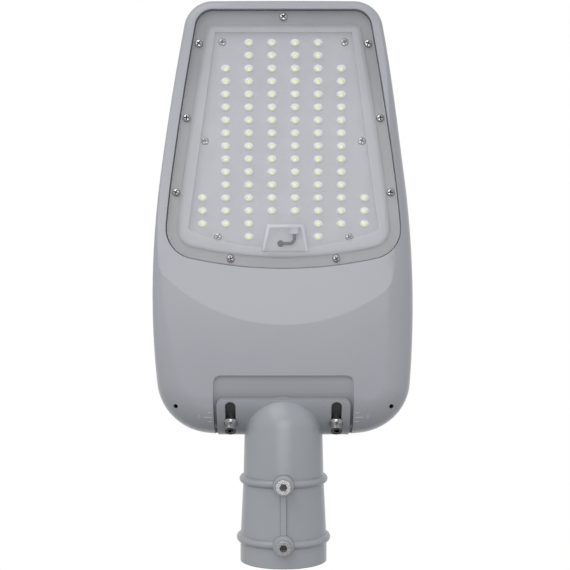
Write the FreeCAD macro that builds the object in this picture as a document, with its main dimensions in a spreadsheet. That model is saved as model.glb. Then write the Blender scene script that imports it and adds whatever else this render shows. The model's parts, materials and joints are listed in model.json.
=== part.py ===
"""LED street light head on a tilting spigot bracket, seen from below with its lenses facing down.

Millimetres, +Z up. The origin is the centre of the spigot mouth on the bore axis, +Y points to the tip
of the head and the LEDs face -Z. The rim round the lens panel lies in the plane rim_z.
"""
import FreeCAD
import Part
import Sketcher
import os
from math import acos, atan2, cos, degrees, pi, radians, sin, sqrt

from FreeCAD import Placement, Rotation, Vector

SIZES = (
    # Plan of the head: a straight tip, two tangent arcs down each side, a round corner and an end arc
    ("tip_y", 476.6, "straight edge of the tip"),
    ("tip_corner", 24.6, "corner radius at the tip"),
    ("upper_side", 2800.0, "arc of each side near the tip"),
    ("lower_side", 900.0, "arc of each side near the bracket"),
    ("side_join_y", 330.0, "where the two side arcs meet"),
    ("half_width", 111.4, "half of the greatest width"),
    ("widest_y", 211.0, "station of the greatest width"),
    ("end_corner", 47.5, "corner radius at the bracket end"),
    ("end_arc", 650.0, "arc of the bracket end"),
    ("end_y", 103.7, "bracket end on the centre line"),
    # Underside and top of the housing
    ("rim_z", -30.0, "plane of the rim and of the flat crescent"),
    ("belly_radius", 1640.0, "sphere of the belly"),
    ("belly_y", 346.0, "axis of that sphere"),
    ("belly_drop", 6.2, "depth of the sphere that the rim plane cuts off"),
    ("tip_round", 7.0, "rounding of the lower edge at the tip"),
    ("side_round", 26.0, "rounding where the end corner starts"),
    ("end_round", 42.0, "rounding of the bracket end"),
    ("bay_rim_z", 26.0, "top of the rim of the driver bay"),
    ("tip_top_z", 5.0, "top of the housing at the tip"),
    ("bay_front_gap", 16.5, "recess end to the front of the driver bay"),
    ("bay_back_y", 117.0, "back wall of the driver bay, inside"),
    ("bay_wall", 25.4, "side of the head to the driver bay"),
    ("bay_corner_wall", 2.9, "least wall at the back corners of the bay"),
    ("bay_floor_z", -14.0, "floor of the driver bay"),
    # Cooling fins over the LEDs
    ("base_thick", 4.4, "plate that carries the LED board"),
    ("fin_pitch", 16.0, "from fin to fin"),
    ("fin_thick", 2.6, "one fin"),
    ("fin_wall", 5.0, "outer wall round the fins"),
    ("bay_front_wall", 7.0, "wall between the driver bay and the fins"),
    # Lens panel and its recess
    ("rim_width", 9.2, "rim from the outer edge to the recess"),
    ("tip_rim", 7.8, "rim at the straight edge of the tip"),
    ("recess_corner", 35.0, "lower corners of the recess, before the rim width is taken off"),
    ("recess_end_arc", 370.0, "lower end arc of the recess, before the rim width is taken off"),
    ("recess_end_y", 241.5, "lower end of the recess, before the rim width is added"),
    ("recess_depth", 9.6, "rim plane to the plate"),
    ("panel_gap", 0.5, "gap round the lens panel"),
    ("flange_sink", 5.0, "rim plane to the panel's flange"),
    ("flange_thick", 3.0, "flange of the lens panel"),
    ("flange_width", 9.5, "flange from the panel's edge to the ridge"),
    ("ridge_rise", 2.2, "ridge above the flange"),
    ("chip_room", 1.0, "hollow above the LED board"),
    ("board_gap", 2.5, "ridge's outer edge to the LED board"),
    ("field_tip_gap", 27.0, "tip to the top edge of the lens field"),
    ("field_top_inset", 53.9, "greatest half width less half of that edge"),
    ("field_corner_gap", 42.5, "recess end to the lower corners of the lens field"),
    ("field_low_inset", 31.4, "greatest half width less the half width there"),
    ("field_end_gap", 26.6, "recess end to the lower end of the lens field"),
    ("screw_inset", 5.2, "flange screws from the panel's edge"),
    ("screw_first", 11.5, "first pair of flange screws below the tip corners"),
    ("screw_last", 73.5, "last side pair of flange screws above the recess end"),
    ("screw_end_share", 0.4, "pair of screws at the end, as a share of the half width"),
    # Lenses over the LEDs
    ("led_side_gap", 11.75, "widest corner of the field to the outermost LEDs"),
    ("led_first_gap", 8.4, "top edge of the field to the first row of LEDs"),
    ("led_last_gap", 9.6, "lower end of the field to the last row of LEDs"),
    ("lens_length", 9.0, "one lens across the head"),
    ("lens_width", 7.2, "one lens along the head"),
    ("lens_rise", 3.4, "one lens above the field"),
    ("lens_waist", 0.92, "share of the lens at half of its height"),
    ("lens_crown", 0.62, "share of the lens that its flat crown keeps"),
    ("chip_side", 3.0, "one LED chip"),
    ("board_screw_rise", 1.2, "first board screws above the first row of LEDs"),
    ("board_screw_drop", 0.7, "middle board screws below the middle of the rows"),
    ("board_screw_first", 2.65, "first board screws from the middle, in columns of LEDs"),
    ("board_screw_middle", 3.4, "middle board screws, in columns of LEDs"),
    ("board_screw_last", 2.85, "last board screws, in columns of LEDs"),
    ("chip_thick", 0.8, "height of a chip"),
    ("wire_box_long", 20.2, "end of the field to the far end of the raised box over the wire"),
    ("wire_box_far", 15.4, "its half width there"),
    ("wire_box_near", 20.0, "its half width at the field's end"),
    ("wire_box_x", -1.6, "its middle"),
    ("wire_box_rise", 4.0, "its height above the field"),
    ("wire_box_wall", 1.2, "its wall"),
    # Tilt seat: the housing turns on a cylinder about this axis
    ("tilt_y", 156.0, "axis of the tilt seat"),
    ("tilt_z", 24.0, "axis of the tilt seat"),
    ("seat_radius", 45.7, "cylinder of the housing's seat"),
    ("seat_gap", 0.3, "play between seat and bracket flange"),
    ("seat_wall", 5.7, "wall behind the seat"),
    ("pocket_half", 59.4, "half width of the pocket"),
    ("pocket_far", 4.5, "tilt axis to the far wall of the pocket"),
    ("pocket_corner", 7.0, "corners of the pocket"),
    ("pocket_deck", 4.5, "deck that closes the pocket above, beside the tube"),
    ("tube_gap", 3.5, "bracket's tube to that deck"),
    ("shell_thick", 6.0, "bracket flange"),
    ("shell_half", 56.75, "half width of the bracket flange"),
    ("shell_start", 18.0, "flange's far edge, degrees from straight down"),
    ("shell_end", 71.0, "flange's near edge, degrees from straight down"),
    ("shell_corner", 5.0, "corners of the flange"),
    ("bolt_half", 45.0, "tilt bolts from the middle"),
    ("bolt_angle", 44.0, "tilt bolts, degrees from straight down"),
    ("slot_sweep", 19.0, "slot each way from the bolt, degrees"),
    ("slot_half", 4.4, "half width of a slot"),
    # Spigot tube
    ("bore_radius", 31.0, "bore for a pole of 60 mm"),
    ("bore_depth", 83.0, "depth of the bore"),
    ("mouth_radius", 37.2, "outside at the mouth"),
    ("mouth_run", 18.0, "straight run at the mouth"),
    ("waist_radius", 34.6, "outside at the far bead"),
    ("nose_radius", 33.5, "round nose of the tube"),
    ("nose_y", 115.8, "centre of the nose"),
    ("drain_inset", 19.4, "side of the head to the drain holes"),
    ("drain_y", 133.5, "drain holes"),
    ("drain_radius", 1.9, "drain holes"),
    ("cable_way", 17.0, "radius of the cable's way through the bracket"),
    ("far_bead_y", 70.2, "far ring bead and clamp screw"),
    ("near_bead_y", 20.0, "near ring bead and clamp screw"),
    ("bead_radius", 3.5, "half round of a ring bead"),
    ("boss_radius", 8.7, "boss of a clamp screw"),
    ("boss_z", -42.0, "face of those bosses"),
    ("rib_half", 2.5, "half width of the rib between the bosses"),
    ("rib_z", -38.5, "crest of that rib"),
    # Fasteners: thread, head radius and head height
    ("thread_gap", 0.1, "play round a thread"),
    ("clamp_thread", 4.0, "clamp screw, half of its thread"),
    ("clamp_head", 6.1, "clamp screw's head"),
    ("clamp_head_tall", 8.0, "clamp screw's head"),
    ("tilt_thread", 3.0, "tilt bolt, half of its thread"),
    ("tilt_head", 5.0, "tilt bolt's head"),
    ("tilt_head_tall", 6.0, "tilt bolt's head"),
    ("tilt_length", 26.0, "tilt bolt below its head"),
    ("tilt_boss", 7.8, "boss behind the seat for a tilt bolt"),
    ("tilt_boss_long", 14.0, "length of that boss"),
    ("washer_radius", 6.2, "washer under a tilt bolt"),
    ("washer_thick", 1.6, "washer and spring washer"),
    ("small_thread", 2.0, "small screws, half of their thread"),
    ("small_head", 3.4, "small screws' heads"),
    ("small_head_tall", 2.2, "small screws' heads"),
    ("small_length", 9.0, "small screws below the head"),
    ("short_length", 6.0, "short screws of the driver below the head"),
    ("boss_wall", 2.6, "metal round a small screw"),
    # Driver cover
    ("cover_inset", 1.5, "cover inside the housing's edge"),
    ("cover_seal", 1.2, "gasket under the cover"),
    ("cover_top_z", 54.0, "crown of the cover"),
    ("cover_front_z", 36.0, "front edge of the cover's top"),
    ("cover_lap", 5.5, "front of the driver bay to the front face of the cover"),
    ("cover_bend_y", 201.0, "where the top starts to fall"),
    ("cover_arc_fall", 44.0, "fall of the arc across the cover"),
    ("cover_arc_out", 20.6, "side of the head to where that arc has fallen so far"),
    ("cover_wall", 3.5, "wall of the cover"),
    ("cover_knuckle", 45.0, "round end of the cover, about the tilt axis"),
    ("cover_screw_inset", 15.4, "side of the head to the cover screws"),
    ("cover_screw_rear", 24.0, "back of the driver bay to the first pair of cover screws"),
    ("cover_screw_front", 8.0, "front of the driver bay to the last pair of cover screws"),
    ("cover_screw_seat", 3.0, "metal under a cover screw's head"),
    ("seal_width", 4.5, "width of that gasket"),
    ("seal_gap", 0.4, "gasket from the edge of the bay"),
    # What the bay holds
    ("driver_side_gap", 3.0, "side of the bay to the driver's tabs"),
    ("driver_front_gap", 7.0, "front of the bay to the driver"),
    ("driver_wide", 54.0, "width of the driver"),
    ("driver_tall", 30.0, "height of the driver"),
    ("driver_round", 3.0, "edges of the driver"),
    ("tab_length", 9.0, "mounting tab at each end of the driver"),
    ("tab_thick", 2.0, "thickness of a tab"),
    ("surge_side_gap", 9.0, "side of the bay to the surge protector"),
    ("surge_front_gap", 11.0, "driver to the surge protector"),
    ("surge_long", 50.0, "its length"),
    ("surge_wide", 28.0, "its width"),
    ("surge_tall", 26.0, "its height"),
    ("block_side_gap", 12.0, "side of the bay to the terminal block"),
    ("block_front_gap", 16.0, "driver to the terminal block"),
    ("block_long", 48.0, "its length"),
    ("block_wide", 18.0, "its width"),
    ("block_tall", 18.0, "its height"),
    ("block_ways", 3.0, "its ways"),
    ("block_screw", 2.5, "terminal screw"),
    ("block_screw_tall", 4.0, "height of a terminal screw"),
    ("block_screw_sunk", 6.0, "depth of its well"),
    ("grommet_radius", 8.5, "cable grommet in the knuckle wall"),
    ("grommet_bore", 5.0, "bore of the grommet"),
    ("grommet_collar", 11.5, "collar of the grommet"),
    ("grommet_pad", 14.0, "flat boss that the collar seats on"),
    ("grommet_pad_tall", 2.0, "height of that boss"),
    ("grommet_collar_tall", 2.5, "thickness of the collar"),
    ("grommet_play", 0.8, "grommet's end inside the seat"),
    # Lead from the LED board to the driver
    ("lead_x", 2.4, "where the lead passes the plate"),
    ("lead_end_gap", 3.9, "end of the field to where the lead passes the plate"),
    ("lead_radius", 1.3, "half of the lead"),
    ("lead_hole", 2.7, "hole for the lead and its grommet"),
    ("lead_play", 0.4, "play round the lead in its grommet"),
    ("lead_bend", 2.6, "longest cut of a corner on the lead's way"),
    ("lead_start", 0.25, "play between the lead's end and the connector"),
    ("lead_boss_wall", 3.0, "metal round the lead's way"),
    ("lead_bay_z", -4.0, "height of the lead's way into the bay"),
    ("plug_end_gap", 15.4, "end of the field to the middle of the connector"),
    ("plug_x", -9.0, "middle of the connector on the board"),
    ("plug_side", 7.0, "the connector"),
    ("plug_tall", 4.2, "height of the connector"),
)

# Rows of LEDs from the tip down: how many columns each side of the middle, and which are left empty
LED_ROWS = 16
LED_COLUMNS = 4
NARROW_ROWS = 2
WIDE_ROWS = (12, 13, 14)

doc = FreeCAD.newDocument("street_light_head")
sheet = doc.addObject("Spreadsheet::Sheet", "Sizes")


class Size:
    """A size of the sheet, or one worked out from such sizes: its value and its expression."""

    def __init__(self, value, text):
        self.value = float(value)
        self.text = text

    def __add__(self, other):
        other = as_size(other)
        return Size(self.value + other.value, f"({self.text} + {other.text})")

    def __sub__(self, other):
        other = as_size(other)
        return Size(self.value - other.value, f"({self.text} - {other.text})")

    def __mul__(self, other):
        other = as_size(other)
        return Size(self.value * other.value, f"({self.text} * {other.text})")

    def __truediv__(self, other):
        other = as_size(other)
        return Size(self.value / other.value, f"({self.text} / {other.text})")

    def __radd__(self, other):
        return as_size(other) + self

    def __rsub__(self, other):
        return as_size(other) - self

    def __rmul__(self, other):
        return as_size(other) * self

    def __neg__(self):
        return Size(-self.value, f"(0 - {self.text})")

    def __float__(self):
        return self.value


def as_size(value):
    """The value as a Size, with a plain number as its own expression."""
    if isinstance(value, Size):
        return value
    return Size(value, f"({float(value)!r})")


def root_of(size):
    """The square root of a size."""
    return Size(sqrt(size.value), f"sqrt({size.text})")


def sine(size):
    """The sine of an angle in degrees."""
    return Size(sin(radians(size.value)), f"sin({size.text})")


def cosine(size):
    """The cosine of an angle in degrees."""
    return Size(cos(radians(size.value)), f"cos({size.text})")


class Sheet:
    """The sizes by name, as attributes."""


def fill_sheet():
    """Write the driving sizes as plain numbers, each with its alias and what it is."""
    sizes = Sheet()
    for row, (alias, value, meaning) in enumerate(SIZES, 1):
        sheet.set(f"A{row}", alias)
        sheet.set(f"B{row}", str(value))
        sheet.set(f"C{row}", meaning)
        sheet.setAlias(f"B{row}", alias)
        setattr(sizes, alias, Size(value, f"Sizes.{alias}"))
    doc.recompute()
    return sizes


S = fill_sheet()

# Helpers for bound properties and sketches


def bind(item, path, size):
    """Bind one property to an expression of the sheet."""
    item.setExpression(path, as_size(size).text)


def place(item, x, y, z, rotation=Rotation()):
    """Place an object at bound coordinates."""
    item.Placement = Placement(Vector(float(x), float(y), float(z)), rotation)
    for axis, size in (("x", x), ("y", y), ("z", z)):
        bind(item, f"Placement.Base.{axis}", size)


def new_body(name):
    """A body of its own with this name."""
    return doc.addObject("PartDesign::Body", name)


def new_sketch(body, name, role="XY_Plane", lift=0.0):
    """A sketch on one of the body's origin planes, lifted along its normal."""
    sketch = body.newObject("Sketcher::SketchObject", name)
    plane = next(item for item in body.Origin.OriginFeatures if item.Role == role)
    sketch.AttachmentSupport = [(plane, "")]
    sketch.MapMode = "FlatFace"
    sketch.AttachmentOffset = Placement(Vector(0, 0, float(lift)), Rotation())
    bind(sketch, "AttachmentOffset.Base.z", lift)
    return sketch


def hold_value(sketch, kind, geometry, size):
    """A radius constraint with its expression."""
    row = sketch.addConstraint(Sketcher.Constraint(kind, geometry, float(size)))
    bind(sketch, f"Constraints[{row}]", size)


def hold_point(sketch, geometry, point, x, y):
    """Hold one point of a sketch at bound coordinates."""
    for kind, size in (("DistanceX", x), ("DistanceY", y)):
        row = sketch.addConstraint(Sketcher.Constraint(kind, -1, 1, geometry, point, float(size)))
        bind(sketch, f"Constraints[{row}]", size)


def draw_polygon(sketch, corners):
    """A closed polygon with each corner at bound coordinates."""
    spots = [Vector(float(x), float(y), 0) for x, y in corners]
    first = sketch.GeometryCount
    count = len(corners)
    for index, spot in enumerate(spots):
        sketch.addGeometry(Part.LineSegment(spot, spots[(index + 1) % count]), False)
    for index, (x, y) in enumerate(corners):
        before = first + (index - 1) % count
        sketch.addConstraint(Sketcher.Constraint("Coincident", before, 2, first + index, 1))
        hold_point(sketch, first + index, 1, x, y)


def draw_circle(sketch, x, y, radius):
    """A circle at bound coordinates."""
    centre = Vector(float(x), float(y), 0)
    row = sketch.addGeometry(Part.Circle(centre, Vector(0, 0, 1), float(radius)), False)
    hold_value(sketch, "Radius", row, radius)
    hold_point(sketch, row, 3, x, y)


def short_arc(start, stop, centre):
    """The shorter arc about a centre, counterclockwise, and whether it runs from start to stop."""
    one = atan2(start.y - centre.y, start.x - centre.x)
    two = atan2(stop.y - centre.y, stop.x - centre.x)
    forward = (two - one) % (2 * pi) < pi
    first, last = (one, two) if forward else (two, one)
    if last < first:
        last += 2 * pi
    circle = Part.Circle(centre, Vector(0, 0, 1), (start - centre).Length)
    return Part.ArcOfCircle(circle, first, last), forward


def draw_chain(sketch, pieces):
    """A closed chain of lines and arcs. Each piece is its start, and a centre where it is an arc."""
    count = len(pieces)
    spots = [Vector(float(start[0]), float(start[1]), 0) for start, centre in pieces]
    first = sketch.GeometryCount
    heads = []
    for index, (start, centre) in enumerate(pieces):
        here = spots[index]
        there = spots[(index + 1) % count]
        forward = True
        if centre is None:
            piece = Part.LineSegment(here, there)
        else:
            middle = Vector(float(centre[0]), float(centre[1]), 0)
            piece, forward = short_arc(here, there, middle)
        sketch.addGeometry(piece, False)
        heads.append(1 if forward else 2)
    for index, (start, centre) in enumerate(pieces):
        before = (index - 1) % count
        here = first + index
        sketch.addConstraint(
            Sketcher.Constraint("Coincident", first + before, 3 - heads[before], here, heads[index])
        )
        hold_point(sketch, here, heads[index], *start)
        if centre is not None:
            step = spots[(index + 1) % count] - spots[index]
            flat = abs(step.x) > abs(step.y)
            kind = "DistanceY" if flat else "DistanceX"
            size = centre[1] if flat else centre[0]
            row = sketch.addConstraint(Sketcher.Constraint(kind, -1, 1, here, 3, float(size)))
            bind(sketch, f"Constraints[{row}]", size)


def new_pad(body, sketch, length, name, down=False, both=False):
    """Pad a sketch by a bound length."""
    pad = body.newObject("PartDesign::Pad", name)
    pad.Profile = sketch
    pad.Length = float(length)
    bind(pad, "Length", length)
    pad.Reversed = down
    if both:
        pad.SideType = "Symmetric"
    return pad


def new_pocket(body, sketch, length, name, reverse=False):
    """Pocket a sketch by a bound depth."""
    pocket = body.newObject("PartDesign::Pocket", name)
    pocket.Profile = sketch
    pocket.Length = float(length)
    bind(pocket, "Length", length)
    pocket.Reversed = reverse
    return pocket


def new_box(name, x_span, y_span, z_span):
    """A box between bound coordinates."""
    box = doc.addObject("Part::Box", name)
    spans = (x_span, y_span, z_span)
    for side, (low, high) in zip(("Length", "Width", "Height"), spans):
        length = as_size(high) - low
        setattr(box, side, float(length))
        bind(box, side, length)
    place(box, x_span[0], y_span[0], z_span[0])
    return box


def new_cylinder(name, radius, height, x, y, z, rotation=Rotation()):
    """A cylinder that starts at bound coordinates and runs along its turned Z axis."""
    cylinder = doc.addObject("Part::Cylinder", name)
    cylinder.Radius = float(radius)
    cylinder.Height = float(height)
    bind(cylinder, "Radius", radius)
    bind(cylinder, "Height", height)
    place(cylinder, x, y, z, rotation)
    return cylinder


def fused(name, items):
    """Several objects as one."""
    result = doc.addObject("Part::MultiFuse", name)
    result.Shapes = items
    result.Refine = False
    return result


def shared(name, items):
    """What several objects have in common."""
    result = doc.addObject("Part::MultiCommon", name)
    result.Shapes = items
    result.Refine = False
    return result


def without(name, base, tool):
    """One object less another."""
    result = doc.addObject("Part::Cut", name)
    result.Base = base
    result.Tool = tool
    result.Refine = False
    return result


def set_shape(name, shape):
    """A feature with a shape of its own."""
    feature = doc.addObject("Part::Feature", name)
    feature.Shape = shape
    return feature


# Plan outlines

# Places that follow from the sizes
BAY_HALF = S.half_width - S.bay_wall
BAY_FRONT_Y = S.recess_end_y + S.bay_front_gap
FIN_START_Y = BAY_FRONT_Y + S.bay_front_wall
POCKET_TOP_Y = S.tilt_y + S.pocket_far
DRAIN_X = S.half_width - S.drain_inset
FIELD_TOP_Y = S.tip_y - S.field_tip_gap
FIELD_TOP_HALF = S.half_width - S.field_top_inset
FIELD_LOW_Y = S.recess_end_y + S.field_corner_gap
FIELD_LOW_HALF = S.half_width - S.field_low_inset
FIELD_END_Y = S.recess_end_y + S.field_end_gap
LED_COLUMN = (FIELD_LOW_HALF - S.led_side_gap) / (LED_COLUMNS - 0.5)
LED_FIRST_Y = FIELD_TOP_Y - S.led_first_gap
LED_ROW = (LED_FIRST_Y - FIELD_END_Y - S.led_last_gap) / (LED_ROWS - 1)
WIRE_BOX_Y = FIELD_END_Y + S.wire_box_long
COVER_FRONT_Y = BAY_FRONT_Y + S.cover_lap
COVER_SCREW_X = S.half_width - S.cover_screw_inset
COVER_ARC_HALF = S.half_width + S.cover_arc_out
COVER_ARC = (COVER_ARC_HALF * COVER_ARC_HALF / S.cover_arc_fall + S.cover_arc_fall) / 2
DRIVER_HALF = BAY_HALF - S.tab_length - S.driver_side_gap
DRIVER_Y = BAY_FRONT_Y - S.driver_front_gap - S.driver_wide / 2
DRIVER_BACK_Y = DRIVER_Y - S.driver_wide / 2
SURGE_X = BAY_HALF - S.surge_side_gap - S.surge_long / 2
SURGE_Y = DRIVER_BACK_Y - S.surge_front_gap - S.surge_wide / 2
BLOCK_X = S.block_long / 2 + S.block_side_gap - BAY_HALF
BLOCK_Y = DRIVER_BACK_Y - S.block_front_gap - S.block_wide / 2
LEAD_Y = FIELD_END_Y + S.lead_end_gap
PLUG_Y = FIELD_END_Y + S.plug_end_gap

PLAN = {
    "tip_y": S.tip_y,
    "corner": S.end_corner,
    "end_arc": S.end_arc,
    "end_y": S.end_y,
}
RIDGE = {
    "tip_y": S.tip_y,
    "corner": S.recess_corner,
    "end_arc": S.recess_end_arc,
    "end_y": S.recess_end_y,
}
RECESS = dict(RIDGE, tip_y=S.tip_y + S.rim_width - S.tip_rim)


def away(centre, origin, length):
    """The point this far from the origin through the centre."""
    dx = centre[0] - origin[0]
    dy = centre[1] - origin[1]
    span = root_of(dx * dx + dy * dy)
    return (origin[0] + dx / span * length, origin[1] + dy / span * length)


def plan_points(form, inset):
    """Centres and meeting points of the right half of a plan outline, set in by this much."""
    low = (S.half_width - S.lower_side, S.widest_y)
    rise = S.side_join_y - S.widest_y
    join = (low[0] + root_of(S.lower_side * S.lower_side - rise * rise), S.side_join_y)
    high = away(join, low, S.lower_side - S.upper_side)
    tip_y = form["tip_y"] - S.tip_corner
    drop = tip_y - high[1]
    reach = S.upper_side - S.tip_corner
    tip = (high[0] + root_of(reach * reach - drop * drop), tip_y)
    end = (as_size(0.0), form["end_y"] + form["end_arc"])
    corner = circles_meet(low, S.lower_side - form["corner"], end, form["end_arc"] - form["corner"])
    points = {
        "tip": (tip[0], form["tip_y"] - inset),
        "tip_side": away(tip, high, S.upper_side - inset),
        "join": away(join, low, S.lower_side - inset),
        "corner_side": away(corner, low, S.lower_side - inset),
        "corner_end": away(corner, end, form["end_arc"] - inset),
    }
    centres = {"tip": tip, "high": high, "low": low, "corner": corner, "end": end}
    return points, centres


def circles_meet(one, one_radius, two, two_radius):
    """The lower right point where two circles meet."""
    dx = two[0] - one[0]
    dy = two[1] - one[1]
    span = root_of(dx * dx + dy * dy)
    along = (one_radius * one_radius - two_radius * two_radius + span * span) / (span * 2)
    aside = root_of(one_radius * one_radius - along * along)
    x = one[0] + dx / span * along + dy / span * aside
    y = one[1] + dy / span * along - dx / span * aside
    return (x, y)


def draw_plan(sketch, form, inset):
    """The whole plan outline, set in by this much, as lines and tangent arcs."""
    points, centres = plan_points(form, inset)

    def left(spot):
        return (-spot[0], spot[1])

    draw_chain(
        sketch,
        [
            (left(points["tip"]), None),
            (points["tip"], centres["tip"]),
            (points["tip_side"], centres["high"]),
            (points["join"], centres["low"]),
            (points["corner_side"], centres["corner"]),
            (points["corner_end"], centres["end"]),
            (left(points["corner_end"]), left(centres["corner"])),
            (left(points["corner_side"]), left(centres["low"])),
            (left(points["join"]), left(centres["high"])),
            (left(points["tip_side"]), left(centres["tip"])),
        ],
    )


def plan_prism(name, form, inset, low, high):
    """A prism of a plan outline between two heights."""
    body = new_body(name)
    sketch = new_sketch(body, f"{name}_plan", "XY_Plane", low)
    draw_plan(sketch, form, inset)
    new_pad(body, sketch, high - low, f"{name}_pad")
    return body


def draw_field(sketch):
    """The lens field: straight top and sides, and an arc at the lower end."""
    sag = FIELD_LOW_Y - FIELD_END_Y
    arc = (FIELD_LOW_HALF * FIELD_LOW_HALF + sag * sag) / (sag * 2)
    centre = (as_size(0.0), FIELD_END_Y + arc)
    draw_chain(
        sketch,
        [
            ((-FIELD_TOP_HALF, FIELD_TOP_Y), None),
            ((FIELD_TOP_HALF, FIELD_TOP_Y), None),
            ((FIELD_LOW_HALF, FIELD_LOW_Y), centre),
            ((-FIELD_LOW_HALF, FIELD_LOW_Y), None),
        ],
    )


# Places about the tilt axis


def on_seat(angle, radius):
    """Y and Z of a point this far from the tilt axis, at an angle from straight down."""
    return (S.tilt_y - sine(angle) * radius, S.tilt_z - cosine(angle) * radius)


def radial_turn(angle):
    """Turns +Z away from the tilt axis, at an angle from straight down."""
    return Rotation(Vector(1, 0, 0), 180.0 - float(angle))


def radial_cylinder(name, radius, x, angle, inner, outer):
    """A cylinder that points away from the tilt axis."""
    y, z = on_seat(angle, inner)
    return new_cylinder(name, radius, outer - inner, x, y, z, radial_turn(angle))


def tilt_cylinder(name, radius, half):
    """A cylinder along the tilt axis."""
    turn = Rotation(Vector(0, 1, 0), 90.0)
    return new_cylinder(name, radius, half * 2, -half, S.tilt_y, S.tilt_z, turn)


# Housing


def perimeter_rounding(base):
    """The lower edges of the hull with the radius at each end of every edge."""

    def radius_at(spot):
        if spot.y > S.side_join_y.value - 1.0:
            return S.tip_round.value
        if spot.y > S.end_y.value + S.end_corner.value * 0.9:
            return S.side_round.value
        return S.end_round.value

    rows = []
    ceiling = S.rim_z.value + S.end_round.value
    for number, edge in enumerate(base.Shape.Edges, 1):
        box = edge.BoundBox
        upright = box.ZLength > box.XLength + box.YLength
        middle = edge.valueAt((edge.FirstParameter + edge.LastParameter) / 2)
        seam = abs(edge.Vertexes[0].Point.x) < 1.0 or abs(edge.Vertexes[-1].Point.x) < 1.0
        if box.ZMax < ceiling and not upright and not seam and middle.z < ceiling:
            start = radius_at(edge.valueAt(edge.FirstParameter))
            stop = radius_at(edge.valueAt(edge.LastParameter))
            rows.append((number, start, stop))
    return rows


def make_hull():
    """The outside of the housing: a prism with a spherical belly and a growing round, cut flat at the rim."""
    top = S.bay_rim_z + 6
    prism = plan_prism("hull_prism", PLAN, as_size(0.0), S.rim_z - 15, top)
    belly = doc.addObject("Part::Sphere", "hull_belly")
    belly.Radius = S.belly_radius.value
    bind(belly, "Radius", S.belly_radius)
    place(belly, as_size(0.0), S.belly_y, S.rim_z - S.belly_drop + S.belly_radius)
    block = shared("hull_block", [prism, belly])
    doc.recompute()
    rounded = doc.addObject("Part::Fillet", "hull_rounded")
    rounded.Base = block
    rounded.Edges = perimeter_rounding(block)
    reach = S.half_width * 2
    below = new_box(
        "below_rim", (-reach, reach), (S.end_y - reach, S.tip_y + reach), (S.rim_z - 60, S.rim_z)
    )
    flat = without("hull_flat", rounded, below)
    return without("hull", flat, top_cutter(top))


def top_cutter(top):
    """What lies above the housing: level over the bay and falling to the tip."""
    body = new_body("top_cutter")
    sketch = new_sketch(body, "top_line", "YZ_Plane")
    reach = S.half_width
    slope_start = COVER_FRONT_Y + 1.5
    over = top + 20
    draw_polygon(
        sketch,
        [
            (S.end_y - reach, S.bay_rim_z),
            (slope_start, S.bay_rim_z),
            (S.tip_y, S.tip_top_z),
            (S.tip_y + reach, S.tip_top_z),
            (S.tip_y + reach, over),
            (S.end_y - reach, over),
        ],
    )
    new_pad(body, sketch, reach * 4, "top_cutter_pad", both=True)
    return body


def make_fin_gaps():
    """The gaps between the cooling fins, inside the outer wall."""
    floor = S.rim_z + S.recess_depth + S.base_thick
    top = S.bay_rim_z + 20
    room = plan_prism("fin_room", PLAN, S.fin_wall, floor, top)
    count = int((S.half_width.value - S.fin_wall.value) / S.fin_pitch.value)
    gaps = []
    for index in range(-count - 1, count + 1):
        start = S.fin_pitch * index + S.fin_thick / 2
        stop = S.fin_pitch * (index + 1) - S.fin_thick / 2
        name = f"fin_gap_{index + count + 2}"
        gaps.append(new_box(name, (start, stop), (FIN_START_Y, S.tip_y), (floor, top)))
    return shared("fin_gaps", [room, fused("fin_gap_row", gaps)])


def make_bay():
    """The room for the driver: level floor, round about the tilt axis at the back, inside the plan."""
    body = new_body("bay_room")
    sketch = new_sketch(body, "bay_profile", "YZ_Plane")
    inner = S.seat_radius - S.seat_wall
    drop = S.tilt_z - S.bay_floor_z
    floor_end = S.tilt_y - root_of(inner * inner - drop * drop)
    back = S.tilt_y - S.bay_back_y
    back_z = S.tilt_z - root_of(inner * inner - back * back)
    top = S.bay_rim_z + 10
    draw_chain(
        sketch,
        [
            ((BAY_FRONT_Y, S.bay_floor_z), None),
            ((floor_end, S.bay_floor_z), (S.tilt_y, S.tilt_z)),
            ((S.bay_back_y, back_z), None),
            ((S.bay_back_y, top), None),
            ((BAY_FRONT_Y, top), None),
        ],
    )
    new_pad(body, sketch, BAY_HALF * 2, "bay_pad", both=True)
    edge = plan_prism("bay_edge", PLAN, S.bay_corner_wall, S.rim_z, top + 1)
    return shared("bay_in_plan", [body, edge])


def make_pocket():
    """The pocket for the bracket: all that lies outside the seat cylinder in its width."""
    body = new_body("pocket_block")
    depth = S.rim_z - 20
    sketch = new_sketch(body, "pocket_plan", "XY_Plane", depth)
    corner = S.pocket_corner
    near = S.end_y - 60
    far = POCKET_TOP_Y
    half = S.pocket_half
    draw_chain(
        sketch,
        [
            ((-half, near), None),
            ((-half, far - corner), (-half + corner, far - corner)),
            ((-half + corner, far), None),
            ((half - corner, far), (half - corner, far - corner)),
            ((half, far - corner), None),
            ((half, near), None),
        ],
    )
    new_pad(body, sketch, S.bay_rim_z - S.pocket_deck - depth, "pocket_pad")
    way = S.mouth_radius + S.bead_radius + S.tube_gap
    tube_way = new_box("tube_way", (-way, way), (near, far - corner), (depth, S.cover_top_z + 20))
    seat = tilt_cylinder("seat_cylinder", S.seat_radius, S.pocket_half + 5)
    return without("pocket", fused("pocket_room", [body, tube_way]), seat)


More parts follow.
